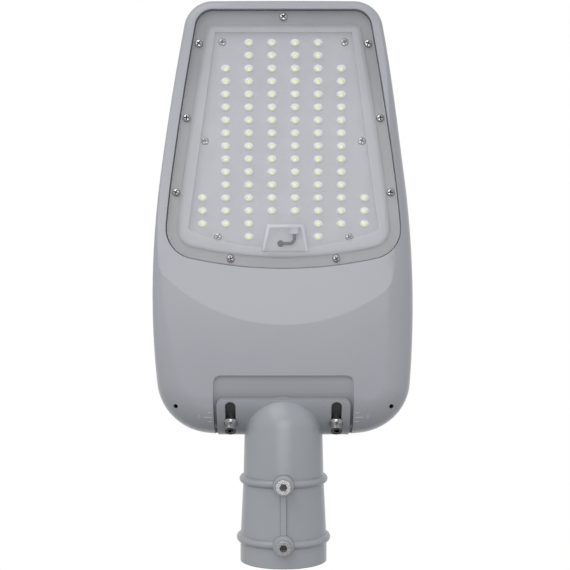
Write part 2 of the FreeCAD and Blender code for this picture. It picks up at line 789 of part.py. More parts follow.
def lens_screw_spots():
    """Where the nine flange screws of the lens panel stand."""
    points, centres = plan_points(RECESS, S.rim_width + S.panel_gap + S.screw_inset)
    low, high = centres["low"], centres["high"]
    inset = S.rim_width + S.panel_gap + S.screw_inset

    def side_x(y):
        centre, radius = (high, S.upper_side) if y.value > S.side_join_y.value else (low, S.lower_side)
        rise = y - centre[1]
        reach = radius - inset
        return centre[0] + root_of(reach * reach - rise * rise)

    spots = [(as_size(0.0), points["tip"][1])]
    first = S.tip_y - S.tip_corner - S.screw_first
    last = S.recess_end_y + S.screw_last
    for share in (0.0, 0.5, 1.0):
        y = first + (last - first) * share
        spots += [(side_x(y), y), (-side_x(y), y)]
    x = S.half_width * S.screw_end_share
    reach = S.recess_end_arc - inset
    y = centres["end"][1] - root_of(reach * reach - x * x)
    spots += [(x, y), (-x, y)]
    return spots


def make_housing(tools):
    """The die-cast housing with its seat, bay, fins, recess and bosses."""
    hull = make_hull()
    floor = S.rim_z + S.recess_depth
    recess = plan_prism("recess", RECESS, S.rim_width, S.rim_z - 5, floor)
    hollows = fused("housing_hollows", [recess, make_bay(), make_fin_gaps(), make_pocket()])
    shell = without("housing_shell", hull, hollows)
    plate = floor + S.base_thick
    bosses = []
    for number, (x, y) in enumerate(lens_screw_spots()[:7], 1):
        radius = S.small_thread + S.boss_wall
        bosses.append(new_cylinder(f"lens_boss_{number}", radius, S.small_length, x, y, plate - 1))
    wall = S.seat_radius - S.seat_wall
    for side in (-1, 1):
        name = "tilt_boss_left" if side < 0 else "tilt_boss_right"
        boss = radial_cylinder(
            name, S.tilt_boss, S.bolt_half * side, S.bolt_angle, wall - S.tilt_boss_long, wall + 3
        )
        bosses.append(boss)
    grommet = grommet_angle()
    bosses.append(
        radial_cylinder(
            "grommet_boss", S.grommet_pad, as_size(0.0), grommet, wall - S.grommet_pad_tall, wall + 3
        )
    )
    lead_wall = S.lead_hole + S.lead_boss_wall
    bosses.append(
        new_box(
            "lead_boss",
            (S.lead_x - lead_wall, S.lead_x + lead_wall),
            (BAY_FRONT_Y + 1, LEAD_Y + lead_wall),
            (plate - 1, S.lead_bay_z + lead_wall),
        )
    )
    solid = fused("housing_solid", [shell] + bosses)
    holes = [tools[name] for name in ("lens_holes", "plate_holes", "cover_holes", "floor_holes")]
    for side in (-1, 1):
        name = "tilt_hole_left" if side < 0 else "tilt_hole_right"
        hole = radial_cylinder(
            name,
            S.tilt_thread + S.thread_gap,
            S.bolt_half * side,
            S.bolt_angle,
            wall - S.tilt_boss_long - 6,
            S.seat_radius + 5,
        )
        holes.append(hole)
    holes.append(
        radial_cylinder(
            "grommet_hole",
            S.grommet_radius + S.thread_gap,
            as_size(0.0),
            grommet,
            wall - 10,
            S.seat_radius + 5,
        )
    )
    holes += lead_holes(floor)
    for side in (-1, 1):
        name = "drain_left" if side < 0 else "drain_right"
        holes.append(
            new_cylinder(name, S.drain_radius, S.end_round + 20, DRAIN_X * side, S.drain_y, S.rim_z - 5)
        )
    return without("housing", solid, fused("housing_holes", holes))


def grommet_angle():
    """Where the spigot's axis meets the seat, in degrees from straight down."""
    share = S.tilt_z / S.seat_radius
    return Size(degrees(acos(share.value)), f"acos({share.text})")


def lead_holes(floor):
    """The lead's way up through the plate and back into the bay."""
    up = new_cylinder(
        "lead_way_up", S.lead_hole, S.lead_bay_z - floor + 2, S.lead_x, LEAD_Y, floor - 1
    )
    turn = Rotation(Vector(1, 0, 0), 90.0)
    back = new_cylinder(
        "lead_way_back",
        S.lead_hole,
        LEAD_Y - BAY_FRONT_Y + 3,
        S.lead_x,
        LEAD_Y + 2,
        S.lead_bay_z,
        turn,
    )
    return [up, back]


# Lens panel, gasket, board and chips


def led_spots():
    """The middle of every LED, row by row from the tip."""
    spots = []
    for row in range(LED_ROWS):
        y = LED_FIRST_Y - LED_ROW * row
        for column in range(LED_COLUMNS):
            if column == LED_COLUMNS - 1 and row not in WIDE_ROWS:
                continue
            if column >= 2 and row < NARROW_ROWS:
                continue
            if row == LED_ROWS - 2 and column == 0:
                continue
            if row == LED_ROWS - 1 and column != 1:
                continue
            x = LED_COLUMN * (column + 0.5)
            spots += [(x, y), (-x, y)]
    return spots


def board_screw_spots():
    """The six screws that hold the LED board, in the free places between the LEDs."""
    first_y = LED_FIRST_Y + S.board_screw_rise
    middle_y = LED_FIRST_Y - LED_ROW * ((LED_ROWS - 1) / 2) - S.board_screw_drop
    last_y = LED_FIRST_Y - LED_ROW * (LED_ROWS - 1)
    first_x = LED_COLUMN * S.board_screw_first
    middle_x = LED_COLUMN * S.board_screw_middle
    last_x = LED_COLUMN * S.board_screw_last
    spots = []
    for side in (-1, 1):
        spots += [(first_x * side, first_y), (middle_x * side, middle_y), (last_x * side, last_y)]
    return spots


def group_of(name, shape, spots, z):
    """Copies of one solid at several places, as separate solids of one node."""
    copies = []
    for x, y in spots:
        copy = shape.copy()
        copy.translate(Vector(float(x), float(y), float(z)))
        copies.append(copy)
    return set_shape(name, Part.makeCompound(copies))


def rods(name, radius, height, spots, z):
    """Upright rods at several places, used to cut holes."""
    rod = Part.makeCylinder(float(radius), float(height))
    return group_of(name, rod, spots, z)


def oval(long_side, short_side, z):
    """An eight-sided oval at a height."""
    corners = []
    for step in range(8):
        angle = radians(22.5 + 45.0 * step)
        corners.append(Vector(cos(angle) * long_side / 2, sin(angle) * short_side / 2, z))
    return Part.makePolygon(corners + corners[:1])


def make_lens_domes(face_z):
    """One low dome over each LED, standing below the face of the lens field."""
    root = S.lens_rise.value * 0.1
    waist = S.lens_waist.value
    low = oval(S.lens_length.value, S.lens_width.value, root)
    middle = oval(S.lens_length.value * waist, S.lens_width.value * waist, -S.lens_rise.value / 2)
    crown = S.lens_crown.value
    top = oval(S.lens_length.value * crown, S.lens_width.value * crown, -S.lens_rise.value)
    dome = Part.makeLoft([low, middle, top], True, True)
    return group_of("lens_domes", dome, led_spots(), face_z)


def make_wire_box(name, shrink, top_z, low_z):
    """The raised box over the wire: a wedge-shaped plan that ends in the ridge."""
    body = new_body(name)
    sketch = new_sketch(body, f"{name}_plan", "XY_Plane", low_z)
    near_y = FIELD_END_Y - 3 + shrink
    draw_polygon(
        sketch,
        [
            (S.wire_box_x - S.wire_box_near + shrink, near_y),
            (S.wire_box_x - S.wire_box_far + shrink, WIRE_BOX_Y - shrink),
            (S.wire_box_x + S.wire_box_far - shrink, WIRE_BOX_Y - shrink),
            (S.wire_box_x + S.wire_box_near - shrink, near_y),
        ],
    )
    new_pad(body, sketch, top_z - low_z, f"{name}_pad")
    return body


def make_lens_panel(tools):
    """The clear moulded panel: flange, ridge, lens field, domes and the box over the wire."""
    back = S.rim_z + S.flange_sink + S.flange_thick
    face = S.rim_z + S.flange_sink
    inset = S.rim_width + S.panel_gap
    body = new_body("panel_plate")
    sketch = new_sketch(body, "panel_plan", "XY_Plane", back)
    draw_plan(sketch, RECESS, inset)
    new_pad(body, sketch, S.flange_thick, "panel_pad", down=True)
    ridge = new_sketch(body, "ridge_plan", "XY_Plane", back)
    draw_plan(ridge, RIDGE, inset + S.flange_width)
    new_pad(body, ridge, S.flange_thick + S.ridge_rise, "ridge_pad", down=True)
    field = new_sketch(body, "field_plan", "XY_Plane", face - S.ridge_rise)
    draw_field(field)
    new_pocket(body, field, S.ridge_rise, "field_pocket", reverse=True)
    doc.recompute()
    domes = make_lens_domes(face)
    box = make_wire_box("wire_box", as_size(0.0), back - 1, face - S.wire_box_rise)
    solid = fused("panel_solid", [body, domes, box])
    room = plan_prism(
        "chip_room_prism", RIDGE, inset + S.flange_width + 2, back - S.chip_room, back + 1
    )
    lowest = face - S.wire_box_rise + S.wire_box_wall
    hollow = make_wire_box("wire_room", S.wire_box_wall, back, lowest)
    holes = fused("panel_hollows", [room, hollow, tools["lens_holes"]])
    return without("lens_panel", solid, holes)


def make_lens_gasket(tools):
    """The silicone ring between the panel's flange and the plate."""
    low = S.rim_z + S.flange_sink + S.flange_thick
    high = S.rim_z + S.recess_depth
    outer = plan_prism("gasket_outer", RECESS, S.rim_width + 1.5, low, high)
    inner = plan_prism("gasket_inner", RIDGE, S.rim_width + S.flange_width, low - 1, high + 1)
    ring = without("gasket_ring", outer, inner)
    return without("lens_gasket", ring, tools["lens_holes"])


def make_led_board(tools):
    """The circuit board on the plate, with its screw holes and the hole for the lead."""
    high = S.rim_z + S.recess_depth
    low = S.rim_z + S.flange_sink + S.flange_thick
    inset = S.rim_width + S.flange_width + S.board_gap
    board = plan_prism("board_plan", RIDGE, inset, low, high)
    lead = new_cylinder(
        "board_lead_hole", S.lead_hole + 0.2, high - low + 2, S.lead_x, LEAD_Y, low - 1
    )
    holes = fused("board_holes", [tools["board_holes"], lead])
    return without("led_board", board, holes)


def make_led_chips():
    """The LED chips on the board."""
    side = S.chip_side.value
    chip = Part.makeBox(side, side, S.chip_thick.value, Vector(-side / 2, -side / 2, 0))
    low = S.rim_z + S.flange_sink + S.flange_thick - S.chip_thick
    return group_of("led_chips", chip, led_spots(), low)


# Screws


def pan_screw(thread, head, tall, length):
    """A small screw that points up, with its head's underside at the origin."""
    shank = Part.makeCylinder(float(thread), float(length))
    disc = Part.makeCylinder(float(head), float(tall), Vector(0, 0, -float(tall)))
    rim = [edge for edge in disc.Edges if abs(edge.CenterOfMass.z + float(tall)) < 1e-6]
    return shank.fuse(disc.makeChamfer(float(tall) * 0.3, rim[:1])).removeSplitter()


def socket_screw(thread, head, tall, length):
    """A hexagon socket screw that points up, with its head's underside at the origin."""
    shank = Part.makeCylinder(float(thread), float(length))
    disc = Part.makeCylinder(float(head), float(tall), Vector(0, 0, -float(tall)))
    radius = float(thread) * 0.86
    corners = []
    for step in range(7):
        angle = radians(60.0 * step)
        corners.append(Vector(cos(angle) * radius, sin(angle) * radius, -float(tall)))
    socket = Part.Face(Part.makePolygon(corners)).extrude(Vector(0, 0, float(tall) * 0.55))
    return shank.fuse(disc).removeSplitter().cut(socket)


def make_small_screws(name, spots, seat_z):
    """A group of small screws whose heads lie below their seat."""
    screw = pan_screw(S.small_thread, S.small_head, S.small_head_tall, S.small_length)
    return group_of(name, screw, spots, seat_z)


def turned_screws(name, shape, spots):
    """A group of screws turned head up, as in the bay and the cover. Each spot has its own height."""
    copies = []
    for x, y, z in spots:
        copy = shape.copy()
        copy.rotate(Vector(0, 0, 0), Vector(1, 0, 0), 180.0)
        copy.translate(Vector(float(x), float(y), float(z)))
        copies.append(copy)
    return set_shape(name, Part.makeCompound(copies))


def tilt_group(name, shape, radius):
    """One copy each side, with its origin this far from the tilt axis and its +Z towards the axis."""
    copies = []
    for side in (-1, 1):
        copy = shape.copy()
        copy.rotate(Vector(0, 0, 0), Vector(1, 0, 0), -float(S.bolt_angle))
        y, z = on_seat(S.bolt_angle, radius)
        copy.translate(Vector(float(S.bolt_half) * side, float(y), float(z)))
        copies.append(copy)
    return set_shape(name, Part.makeCompound(copies))


def make_tilt_fasteners():
    """The two tilt bolts with their washers, on the outside of the bracket flange."""
    outside = S.seat_radius + S.seat_gap + S.shell_thick + S.seat_gap
    washer = Part.makeCylinder(S.washer_radius.value, S.washer_thick.value)
    hole = Part.makeCylinder(S.tilt_thread.value, S.washer_thick.value)
    washer = washer.cut(hole)
    washer.translate(Vector(0, 0, -S.washer_thick.value))
    spring = Part.makeCylinder(S.tilt_head.value, S.washer_thick.value).cut(hole)
    spring.translate(Vector(0, 0, -S.washer_thick.value))
    washers = tilt_group("tilt_washers", washer, outside)
    springs = tilt_group("spring_washers", spring, outside + S.washer_thick)
    bolt = socket_screw(S.tilt_thread, S.tilt_head, S.tilt_head_tall, S.tilt_length)
    bolts = tilt_group("tilt_bolts", bolt, outside + S.washer_thick * 2)
    return [washers, springs, bolts]


def make_clamp_screws():
    """The two screws that clamp the pole, driven in from below."""
    length = -S.boss_z - S.bore_radius - 0.5
    screw = socket_screw(S.clamp_thread, S.clamp_head, S.clamp_head_tall, length)
    spots = [(0.0, S.far_bead_y), (0.0, S.near_bead_y)]
    return group_of("clamp_screws", screw, spots, S.boss_z)


# Driver cover


def cover_profile(name, shrink, low):
    """The cover seen from the side: round about the tilt axis, level, then falling to the front."""
    body = new_body(name)
    sketch = new_sketch(body, f"{name}_side", "YZ_Plane")
    radius = S.cover_knuckle - shrink
    top = S.cover_top_z - shrink
    foot_rise = low - S.tilt_z
    top_rise = top - S.tilt_z
    foot_y = S.tilt_y - root_of(radius * radius - foot_rise * foot_rise)
    top_y = S.tilt_y - root_of(radius * radius - top_rise * top_rise)
    front = COVER_FRONT_Y - shrink
    draw_chain(
        sketch,
        [
            ((foot_y, low), (S.tilt_y, S.tilt_z)),
            ((top_y, top), None),
            ((S.cover_bend_y, top), None),
            ((front, S.cover_front_z - shrink), None),
            ((front, low), None),
        ],
    )
    new_pad(body, sketch, S.half_width * 2.4, f"{name}_pad", both=True)
    return body


def cover_crown(name, shrink):
    """The arc of the cover across the head, as a long cylinder along Y."""
    radius = COVER_ARC - shrink
    turn = Rotation(Vector(1, 0, 0), 90.0)
    return new_cylinder(
        name,
        radius,
        S.tip_y,
        as_size(0.0),
        S.tip_y,
        S.cover_top_z - COVER_ARC,
        turn,
    )


def cover_screw_spots():
    """Where the cover screws stand."""
    rear = S.bay_back_y + S.cover_screw_rear
    front = BAY_FRONT_Y - S.cover_screw_front
    spots = []
    for y in (rear, (rear + front) / 2, front):
        spots += [(COVER_SCREW_X, y), (-COVER_SCREW_X, y)]
    return spots


def make_cover():
    """The domed cover of the driver bay, hollow inside, with sunk screws."""
    low = S.bay_rim_z + S.cover_seal
    prism = plan_prism("cover_prism", PLAN, S.cover_inset, low, S.cover_top_z + 5)
    block = shared(
        "cover_block",
        [prism, cover_profile("cover_side", as_size(0.0), low), cover_crown("cover_arc", as_size(0.0))],
    )
    room = new_box(
        "cover_room_box",
        (-BAY_HALF + 1, BAY_HALF - 1),
        (S.end_y, BAY_FRONT_Y),
        (low - 1, S.cover_top_z),
    )
    hollow = shared(
        "cover_room",
        [
            room,
            cover_profile("cover_room_side", S.cover_wall, low - 0.5),
            cover_crown("cover_room_arc", S.cover_wall),
        ],
    )
    seat = low + S.cover_screw_seat
    over = S.cover_top_z + 5 - seat
    sinks = rods("cover_sinks", S.small_head + 0.8, over, cover_screw_spots(), seat)
    through = S.cover_screw_seat + 10
    threads = rods("cover_threads", S.small_thread + 0.3, through, cover_screw_spots(), low - 5)
    return without("driver_cover", block, fused("cover_cuts", [hollow, sinks, threads]))


def make_cover_gasket():
    """The ring between the housing's rim and the cover."""
    low = S.bay_rim_z
    high = low + S.cover_seal
    half = BAY_HALF + S.seal_gap
    back = S.bay_back_y - S.seal_gap
    front = BAY_FRONT_Y + S.seal_gap
    wide = S.seal_width
    outer = new_box(
        "seal_outer", (-half - wide, half + wide), (back - wide, front + wide), (low, high)
    )
    edge = plan_prism("seal_edge", PLAN, S.cover_inset + S.seal_gap, low, high)
    room = new_box("seal_room", (-half, half), (back, front), (low - 1, high + 1))
    room_edge = plan_prism("seal_room_edge", PLAN, S.bay_corner_wall - S.seal_gap, low - 1, high + 1)
    inner = shared("seal_inner", [room, room_edge])
    return without("cover_gasket", shared("seal_plan", [outer, edge]), inner)


# What the bay holds


def rounded_block(name, x, y, half, width, tall, radius):
    """A block on the bay's floor with its long upper edges rounded."""
    body = new_body(name)
    sketch = new_sketch(body, f"{name}_section", "YZ_Plane")
    low = S.bay_floor_z
    high = low + tall
    near = y - width / 2
    far = y + width / 2
    draw_chain(
        sketch,
        [
            ((near, low), None),
            ((near, high - radius), (near + radius, high - radius)),
            ((near + radius, high), None),
            ((far - radius, high), (far - radius, high - radius)),
            ((far, high - radius), None),
            ((far, low), None),
        ],
    )
    new_pad(body, sketch, half * 2, f"{name}_pad", both=True)
    place(body, x, as_size(0.0), as_size(0.0))
    return body


def driver_screw_spots():
    """One screw through each tab of the driver."""
    x = DRIVER_HALF + S.tab_length / 2
    return [(x, DRIVER_Y), (-x, DRIVER_Y)]


def make_driver():
    """The LED driver: a rounded case with a mounting tab at each end."""
    case = rounded_block(
        "driver_case",
        as_size(0.0),
        DRIVER_Y,
        DRIVER_HALF,
        S.driver_wide,
        S.driver_tall,
        S.driver_round,
    )
    reach = DRIVER_HALF + S.tab_length
    tabs = new_box(
        "driver_tabs",
        (-reach, reach),
        (DRIVER_Y - S.driver_wide / 4, DRIVER_Y + S.driver_wide / 4),
        (S.bay_floor_z, S.bay_floor_z + S.tab_thick),
    )
    holes = rods(
        "driver_holes", S.small_thread + 0.3, 10.0, driver_screw_spots(), S.bay_floor_z - 5
    )
    return without("driver", fused("driver_solid", [case, tabs]), holes)


def block_screw_spots():
    """The terminal screws of the block, two for each way."""
    ways = int(S.block_ways.value)
    spots = []
    for way in range(ways):
        x = BLOCK_X + S.block_long / ways * (way + 0.5) - S.block_long / 2
        for side in (-1, 1):
            spots.append((x, BLOCK_Y + S.block_wide * 0.25 * side))
    return spots


def make_terminal_block():
    """The block where the mains cores end, with wells for its screws."""
    block = rounded_block(
        "block_body",
        BLOCK_X,
        BLOCK_Y,
        S.block_long / 2,
        S.block_wide,
        S.block_tall,
        as_size(1.0),
    )
    top = S.bay_floor_z + S.block_tall
    well = S.block_screw + S.thread_gap
    sunk = top - S.block_screw_sunk
    wells = rods("block_wells", well, S.block_screw_sunk * 2, block_screw_spots(), sunk)
    return without("terminal_block", block, wells)


def make_terminal_screws():
    """The screws in the wells of the terminal block."""
    screw = Part.makeCylinder(S.block_screw.value, S.block_screw_tall.value)
    top = S.bay_floor_z + S.block_tall
    return group_of("terminal_screws", screw, block_screw_spots(), top - S.block_screw_sunk)


def make_grommet():
    """The rubber grommet for the mains cable, in the wall behind the seat."""
    angle = grommet_angle()
    wall = S.seat_radius - S.seat_wall - S.grommet_pad_tall
    zero = as_size(0.0)
    end = S.seat_radius - S.grommet_play
    sleeve = radial_cylinder("grommet_sleeve", S.grommet_radius, zero, angle, wall, end)
    collar = radial_cylinder(
        "grommet_collar_disc", S.grommet_collar, zero, angle, wall - S.grommet_collar_tall, wall
    )
    bore = radial_cylinder("grommet_way", S.grommet_bore, zero, angle, wall - 5, S.seat_radius + 5)
    return without("cable_grommet", fused("grommet_solid", [sleeve, collar]), bore)


def make_lead():
    """The two-core lead from the connector on the board, up through the plate and back to the driver."""
    board_z = S.rim_z.value + S.flange_sink.value + S.flange_thick.value
    low = board_z - S.plug_tall.value * 0.55
    bay_z = S.lead_bay_z.value
    plug_end = PLUG_Y.value - S.plug_side.value / 2 - S.lead_start.value
    points = [
        Vector(S.plug_x.value, plug_end, low),
        Vector(S.plug_x.value - 0.6, plug_end - 4.0, low),
        Vector(S.plug_x.value + 2.0, plug_end - 7.6, low),
        Vector(S.lead_x.value, LEAD_Y.value, low),
        Vector(S.lead_x.value, LEAD_Y.value, bay_z),
        Vector(S.lead_x.value, DRIVER_Y.value + S.driver_wide.value / 2, bay_z),
    ]
    path = rounded_path(points)
    start = path.Edges[0]
    normal = start.tangentAt(start.FirstParameter)
    ring = Part.Wire(Part.makeCircle(S.lead_radius.value, points[0], normal))
    sweep = path.makePipeShell([ring], True, True)
    return set_shape("board_lead", sweep)


def rounded_path(points):
    """Straight runs through the points, joined by tangent arcs."""
    edges = []
    here = points[0]
    for before, corner, after in zip(points, points[1:], points[2:]):
        one = (before - corner).normalize()
        two = (after - corner).normalize()
        half_turn = (pi - one.getAngle(two)) / 2
        shorter = min((before - corner).Length, (after - corner).Length)
        cut = min(0.45 * shorter, S.lead_bend.value)
        radius = cut / (sin(half_turn) / cos(half_turn))
        start = corner + one * cut
        stop = corner + two * cut
        inward = (one + two).normalize()
        centre = corner + inward * (radius / cos(half_turn))
        edges.append(Part.LineSegment(here, start).toShape())
        middle = centre - inward * radius
        edges.append(Part.Arc(start, middle, stop).toShape())
        here = stop
    edges.append(Part.LineSegment(here, points[-1]).toShape())
    return Part.Wire(edges)


def make_connector():
    """The connector on the LED board that the lead plugs into."""
    board_z = S.rim_z + S.flange_sink + S.flange_thick
    half = S.plug_side / 2
    body = new_box(
        "connector_block",
        (S.plug_x - half, S.plug_x + half),
        (PLUG_Y - half, PLUG_Y + half),
        (board_z - S.plug_tall, board_z),
    )
    return body


def make_lead_grommet():
    """The ring that guards the lead in the plate."""
    high = S.rim_z + S.recess_depth + S.base_thick
    low = S.rim_z + S.flange_sink + S.flange_thick
    outer = new_cylinder("lead_ring", S.lead_hole, high - low, S.lead_x, LEAD_Y, low)
    inner = new_cylinder(
        "lead_ring_bore", S.lead_radius + S.lead_play, high - low + 2, S.lead_x, LEAD_Y, low - 1
    )
    return without("lead_grommet", outer, inner)


# Bracket


def tube_profile():
    """The outside of the spigot tube, turned about the Y axis."""
    body = new_body("tube_outside")
    sketch = new_sketch(body, "tube_line", "YZ_Plane")
    nose_end = S.nose_y + S.nose_radius
    draw_chain(
        sketch,
        [
            ((as_size(0.0), as_size(0.0)), None),
            ((as_size(0.0), S.mouth_radius), None),
            ((S.mouth_run, S.mouth_radius), None),
            ((S.far_bead_y, S.waist_radius), None),
            ((S.nose_y, S.nose_radius), (S.nose_y, as_size(0.0))),
            ((nose_end, as_size(0.0)), None),
        ],
    )
    turn = body.newObject("PartDesign::Revolution", "tube_turn")
    turn.Profile = sketch
    turn.ReferenceAxis = (sketch, ["H_Axis"])
    turn.Angle = 360.0
    return body


def make_beads():
    """The two half-round rings on the tube."""
    beads = []
    turn = Rotation(Vector(1, 0, 0), 90.0)
    for name, y, radius in (
        ("far_bead", S.far_bead_y, S.waist_radius),
        ("near_bead", S.near_bead_y, S.mouth_radius - 0.3),
    ):
        bead = doc.addObject("Part::Torus", name)
        bead.Radius1 = float(radius)
        bead.Radius2 = float(S.bead_radius)
        bind(bead, "Radius1", radius)
        bind(bead, "Radius2", S.bead_radius)
        place(bead, as_size(0.0), y, as_size(0.0), turn)
        beads.append(bead)
    return beads


def make_flange():
    """The curved flange of the bracket, with two rounded corners and a slot for each tilt bolt."""
    inner = S.seat_radius + S.seat_gap
    outer = inner + S.shell_thick
    body = new_body("flange_shell")
    sketch = new_sketch(body, "flange_side", "YZ_Plane")
    axis = (S.tilt_y, S.tilt_z)
    draw_chain(
        sketch,
        [
            (on_seat(S.shell_start, outer), axis),
            (on_seat(S.shell_end, outer), None),
            (on_seat(S.shell_end, inner), axis),
            (on_seat(S.shell_start, inner), None),
        ],
    )
    new_pad(body, sketch, S.shell_half * 2, "flange_pad", both=True)
    doc.recompute()
    pad = body.Tip
    corners = []
    for number, edge in enumerate(pad.Shape.Edges, 1):
        middle = edge.CenterOfMass
        y, z = on_seat(S.shell_start, inner + S.shell_thick / 2)
        beside = abs(abs(middle.x) - S.shell_half.value) < 0.01
        if beside and (middle - Vector(middle.x, y.value, z.value)).Length < 0.5:
            corners.append(f"Edge{number}")
    rounding = body.newObject("PartDesign::Fillet", "flange_corners")
    rounding.Base = (pad, corners)
    rounding.Radius = float(S.shell_corner)
    bind(rounding, "Radius", S.shell_corner)
    return body


def make_slots():
    """The curved slots of the flange."""
    inner = S.seat_radius - 4
    outer = S.seat_radius + S.shell_thick + 6
    start = S.bolt_angle - S.slot_sweep
    stop = S.bolt_angle + S.slot_sweep
    slots = []
    for side in (-1, 1):
        tag = "left" if side < 0 else "right"
        body = new_body(f"slot_{tag}")
        sketch = new_sketch(body, f"slot_{tag}_side", "YZ_Plane", S.bolt_half * side)
        axis = (S.tilt_y, S.tilt_z)
        draw_chain(
            sketch,
            [
                (on_seat(start, outer), axis),
                (on_seat(stop, outer), None),
                (on_seat(stop, inner), axis),
                (on_seat(start, inner), None),
            ],
        )
        new_pad(body, sketch, S.slot_half * 2, f"slot_{tag}_pad", both=True)
        slots.append(body)
        for end, angle in (("far", start), ("near", stop)):
            name = f"slot_{tag}_{end}"
            slots.append(radial_cylinder(name, S.slot_half, S.bolt_half * side, angle, inner, outer))
    return slots


def make_bracket():
    """The cast bracket: spigot tube with beads, bosses and rib, and the curved flange."""
    down = Rotation(Vector(1, 0, 0), 180.0)
    pieces = [tube_profile()] + make_beads()
    for name, y in (("far_boss", S.far_bead_y), ("near_boss", S.near_bead_y)):
        pieces.append(
            new_cylinder(
                name, S.boss_radius, -S.boss_z - S.bore_radius + 1, as_size(0.0), y,
                -S.bore_radius + 1, down,
            )
        )
    pieces.append(
        new_box(
            "boss_rib",
            (-S.rib_half, S.rib_half),
            (S.near_bead_y, S.far_bead_y),
            (S.rib_z, -S.bore_radius + 1),
        )
    )
    tube = fused("tube_solid", pieces)
    clear = tilt_cylinder("seat_clearance", S.seat_radius + S.seat_gap, S.shell_half + 10)
    tube_end = without("tube_trimmed", tube, clear)
    slots = fused("slots", make_slots())
    flange = without("flange", make_flange(), slots)
    solid = fused("bracket_solid", [tube_end, flange])
    return without("bracket", solid, fused("bracket_holes", make_bore()))


def make_bore():
    """The bore for the pole, its cone, the cable's way and the threads of the clamp screws."""
    turn = Rotation(Vector(1, 0, 0), -90.0)
    zero = as_size(0.0)
    bore = new_cylinder("bore", S.bore_radius, S.bore_depth + 5, zero, as_size(-5.0), zero, turn)
    cone = doc.addObject("Part::Cone", "bore_cone")
    length = S.bore_radius - S.cable_way
    cone.Radius1 = float(S.bore_radius)
    cone.Radius2 = float(S.cable_way)
    cone.Height = float(length)
    bind(cone, "Radius1", S.bore_radius)
    bind(cone, "Radius2", S.cable_way)
    bind(cone, "Height", length)
    place(cone, zero, S.bore_depth, zero, turn)
    way = new_cylinder("cable_way_cut", S.cable_way, S.tilt_y, zero, S.bore_depth, zero, turn)
    threads = []
    down = Rotation(Vector(1, 0, 0), 180.0)
    for name, y in (("far_thread", S.far_bead_y), ("near_thread", S.near_bead_y)):
        length = -S.boss_z - S.bore_radius + 5
        radius = S.clamp_thread + S.thread_gap
        threads.append(new_cylinder(name, radius, length, zero, y, -S.bore_radius + 3, down))
    return [bore, cone, way] + threads


def make_hole_tools():
    """Rods that cut the same screw holes through every piece that the screws pass."""
    thread = S.small_thread + S.thread_gap
    face = S.rim_z + S.flange_sink
    plate = S.rim_z + S.recess_depth
    cover = S.bay_rim_z + S.cover_seal + S.cover_screw_seat
    return {
        "lens_holes": rods("lens_holes", thread, 13.0, lens_screw_spots(), face - 1),
        "board_holes": rods("board_holes_rods", thread, 6.0, board_screw_spots(), plate - 3),
        "plate_holes": rods(
            "plate_holes", thread, S.base_thick + 1.5, board_screw_spots(), plate - 1
        ),
        "cover_holes": rods(
            "cover_holes", thread, S.small_length + 1, cover_screw_spots(), cover - S.small_length - 1
        ),
        "floor_holes": rods(
            "floor_holes", thread, 9.0, driver_screw_spots(), S.bay_floor_z - 8
        ),
    }


def make_parts():
    """Every sub-part by its name."""
    tools = make_hole_tools()
    doc.recompute()
    small = pan_screw(S.small_thread, S.small_head, S.small_head_tall, S.small_length)
    flat = pan_screw(S.small_thread, S.small_head, S.chip_room - 0.1, S.base_thick + 1.6)
    short = pan_screw(S.small_thread, S.small_head, S.small_head_tall, S.short_length)
    board_face = S.rim_z + S.flange_sink + S.flange_thick
    cover_seat = S.bay_rim_z + S.cover_seal + S.cover_screw_seat
    tab_top = S.bay_floor_z + S.tab_thick
    parts = {
        "housing": make_housing(tools),
        "driver_cover": make_cover(),
        "cover_gasket": make_cover_gasket(),
        "cover_screws": turned_screws(
            "cover_screws", small, [(x, y, cover_seat) for x, y in cover_screw_spots()]
        ),
        "lens_panel": make_lens_panel(tools),
        "lens_gasket": make_lens_gasket(tools),
        "lens_screws": make_small_screws("lens_screws", lens_screw_spots(), S.rim_z + S.flange_sink),
        "led_board": make_led_board(tools),
        "led_chips": make_led_chips(),
        "board_screws": group_of("board_screws", flat, board_screw_spots(), board_face),
        "board_connector": make_connector(),
        "board_lead": make_lead(),
        "lead_grommet": make_lead_grommet(),
        "driver": make_driver(),
        "driver_screws": turned_screws(
            "driver_screws", short, [(x, y, tab_top) for x, y in driver_screw_spots()]
        ),
        "surge_protector": rounded_block(
            "surge_body",
            SURGE_X,
            SURGE_Y,
            S.surge_long / 2,
            S.surge_wide,
            S.surge_tall,
            as_size(2.0),
        ),
        "terminal_block": make_terminal_block(),
        "terminal_screws": make_terminal_screws(),
        "cable_grommet": make_grommet(),
        "bracket": make_bracket(),
        "clamp_screws": make_clamp_screws(),
    }
    for feature in make_tilt_fasteners():
        parts[feature.Name] = feature
    return parts


def check_and_write(parts):
    """Stop on any failed object, then write one STEP file for each sub-part."""
    doc.recompute()
    failed = [item.Name for item in doc.Objects if {"Invalid", "Error"} & set(item.State)]
    if failed:
        raise RuntimeError(f"failed objects: {failed}")
    for name, item in parts.items():
        shape = item.Shape
        if shape.isNull() or not shape.isValid() or not shape.Solids:
            raise RuntimeError(f"{name} has no valid solid")
        item.Label = name
    os.makedirs("parts", exist_ok=True)
    for name, item in parts.items():
        item.Shape.exportStep(f"parts/{name}.step")
        print(name, len(item.Shape.Solids), "solids", round(item.Shape.Volume / 1000.0, 2), "cm3")


check_and_write(make_parts())
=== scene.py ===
"""Looks of the LED street light head: cast and painted metal, clear lens panel, screws and scale marks."""

import json
from math import cos, pi, radians, sin

import bmesh
import bpy
from mathutils import Matrix, Vector
from mathutils.bvhtree import BVHTree


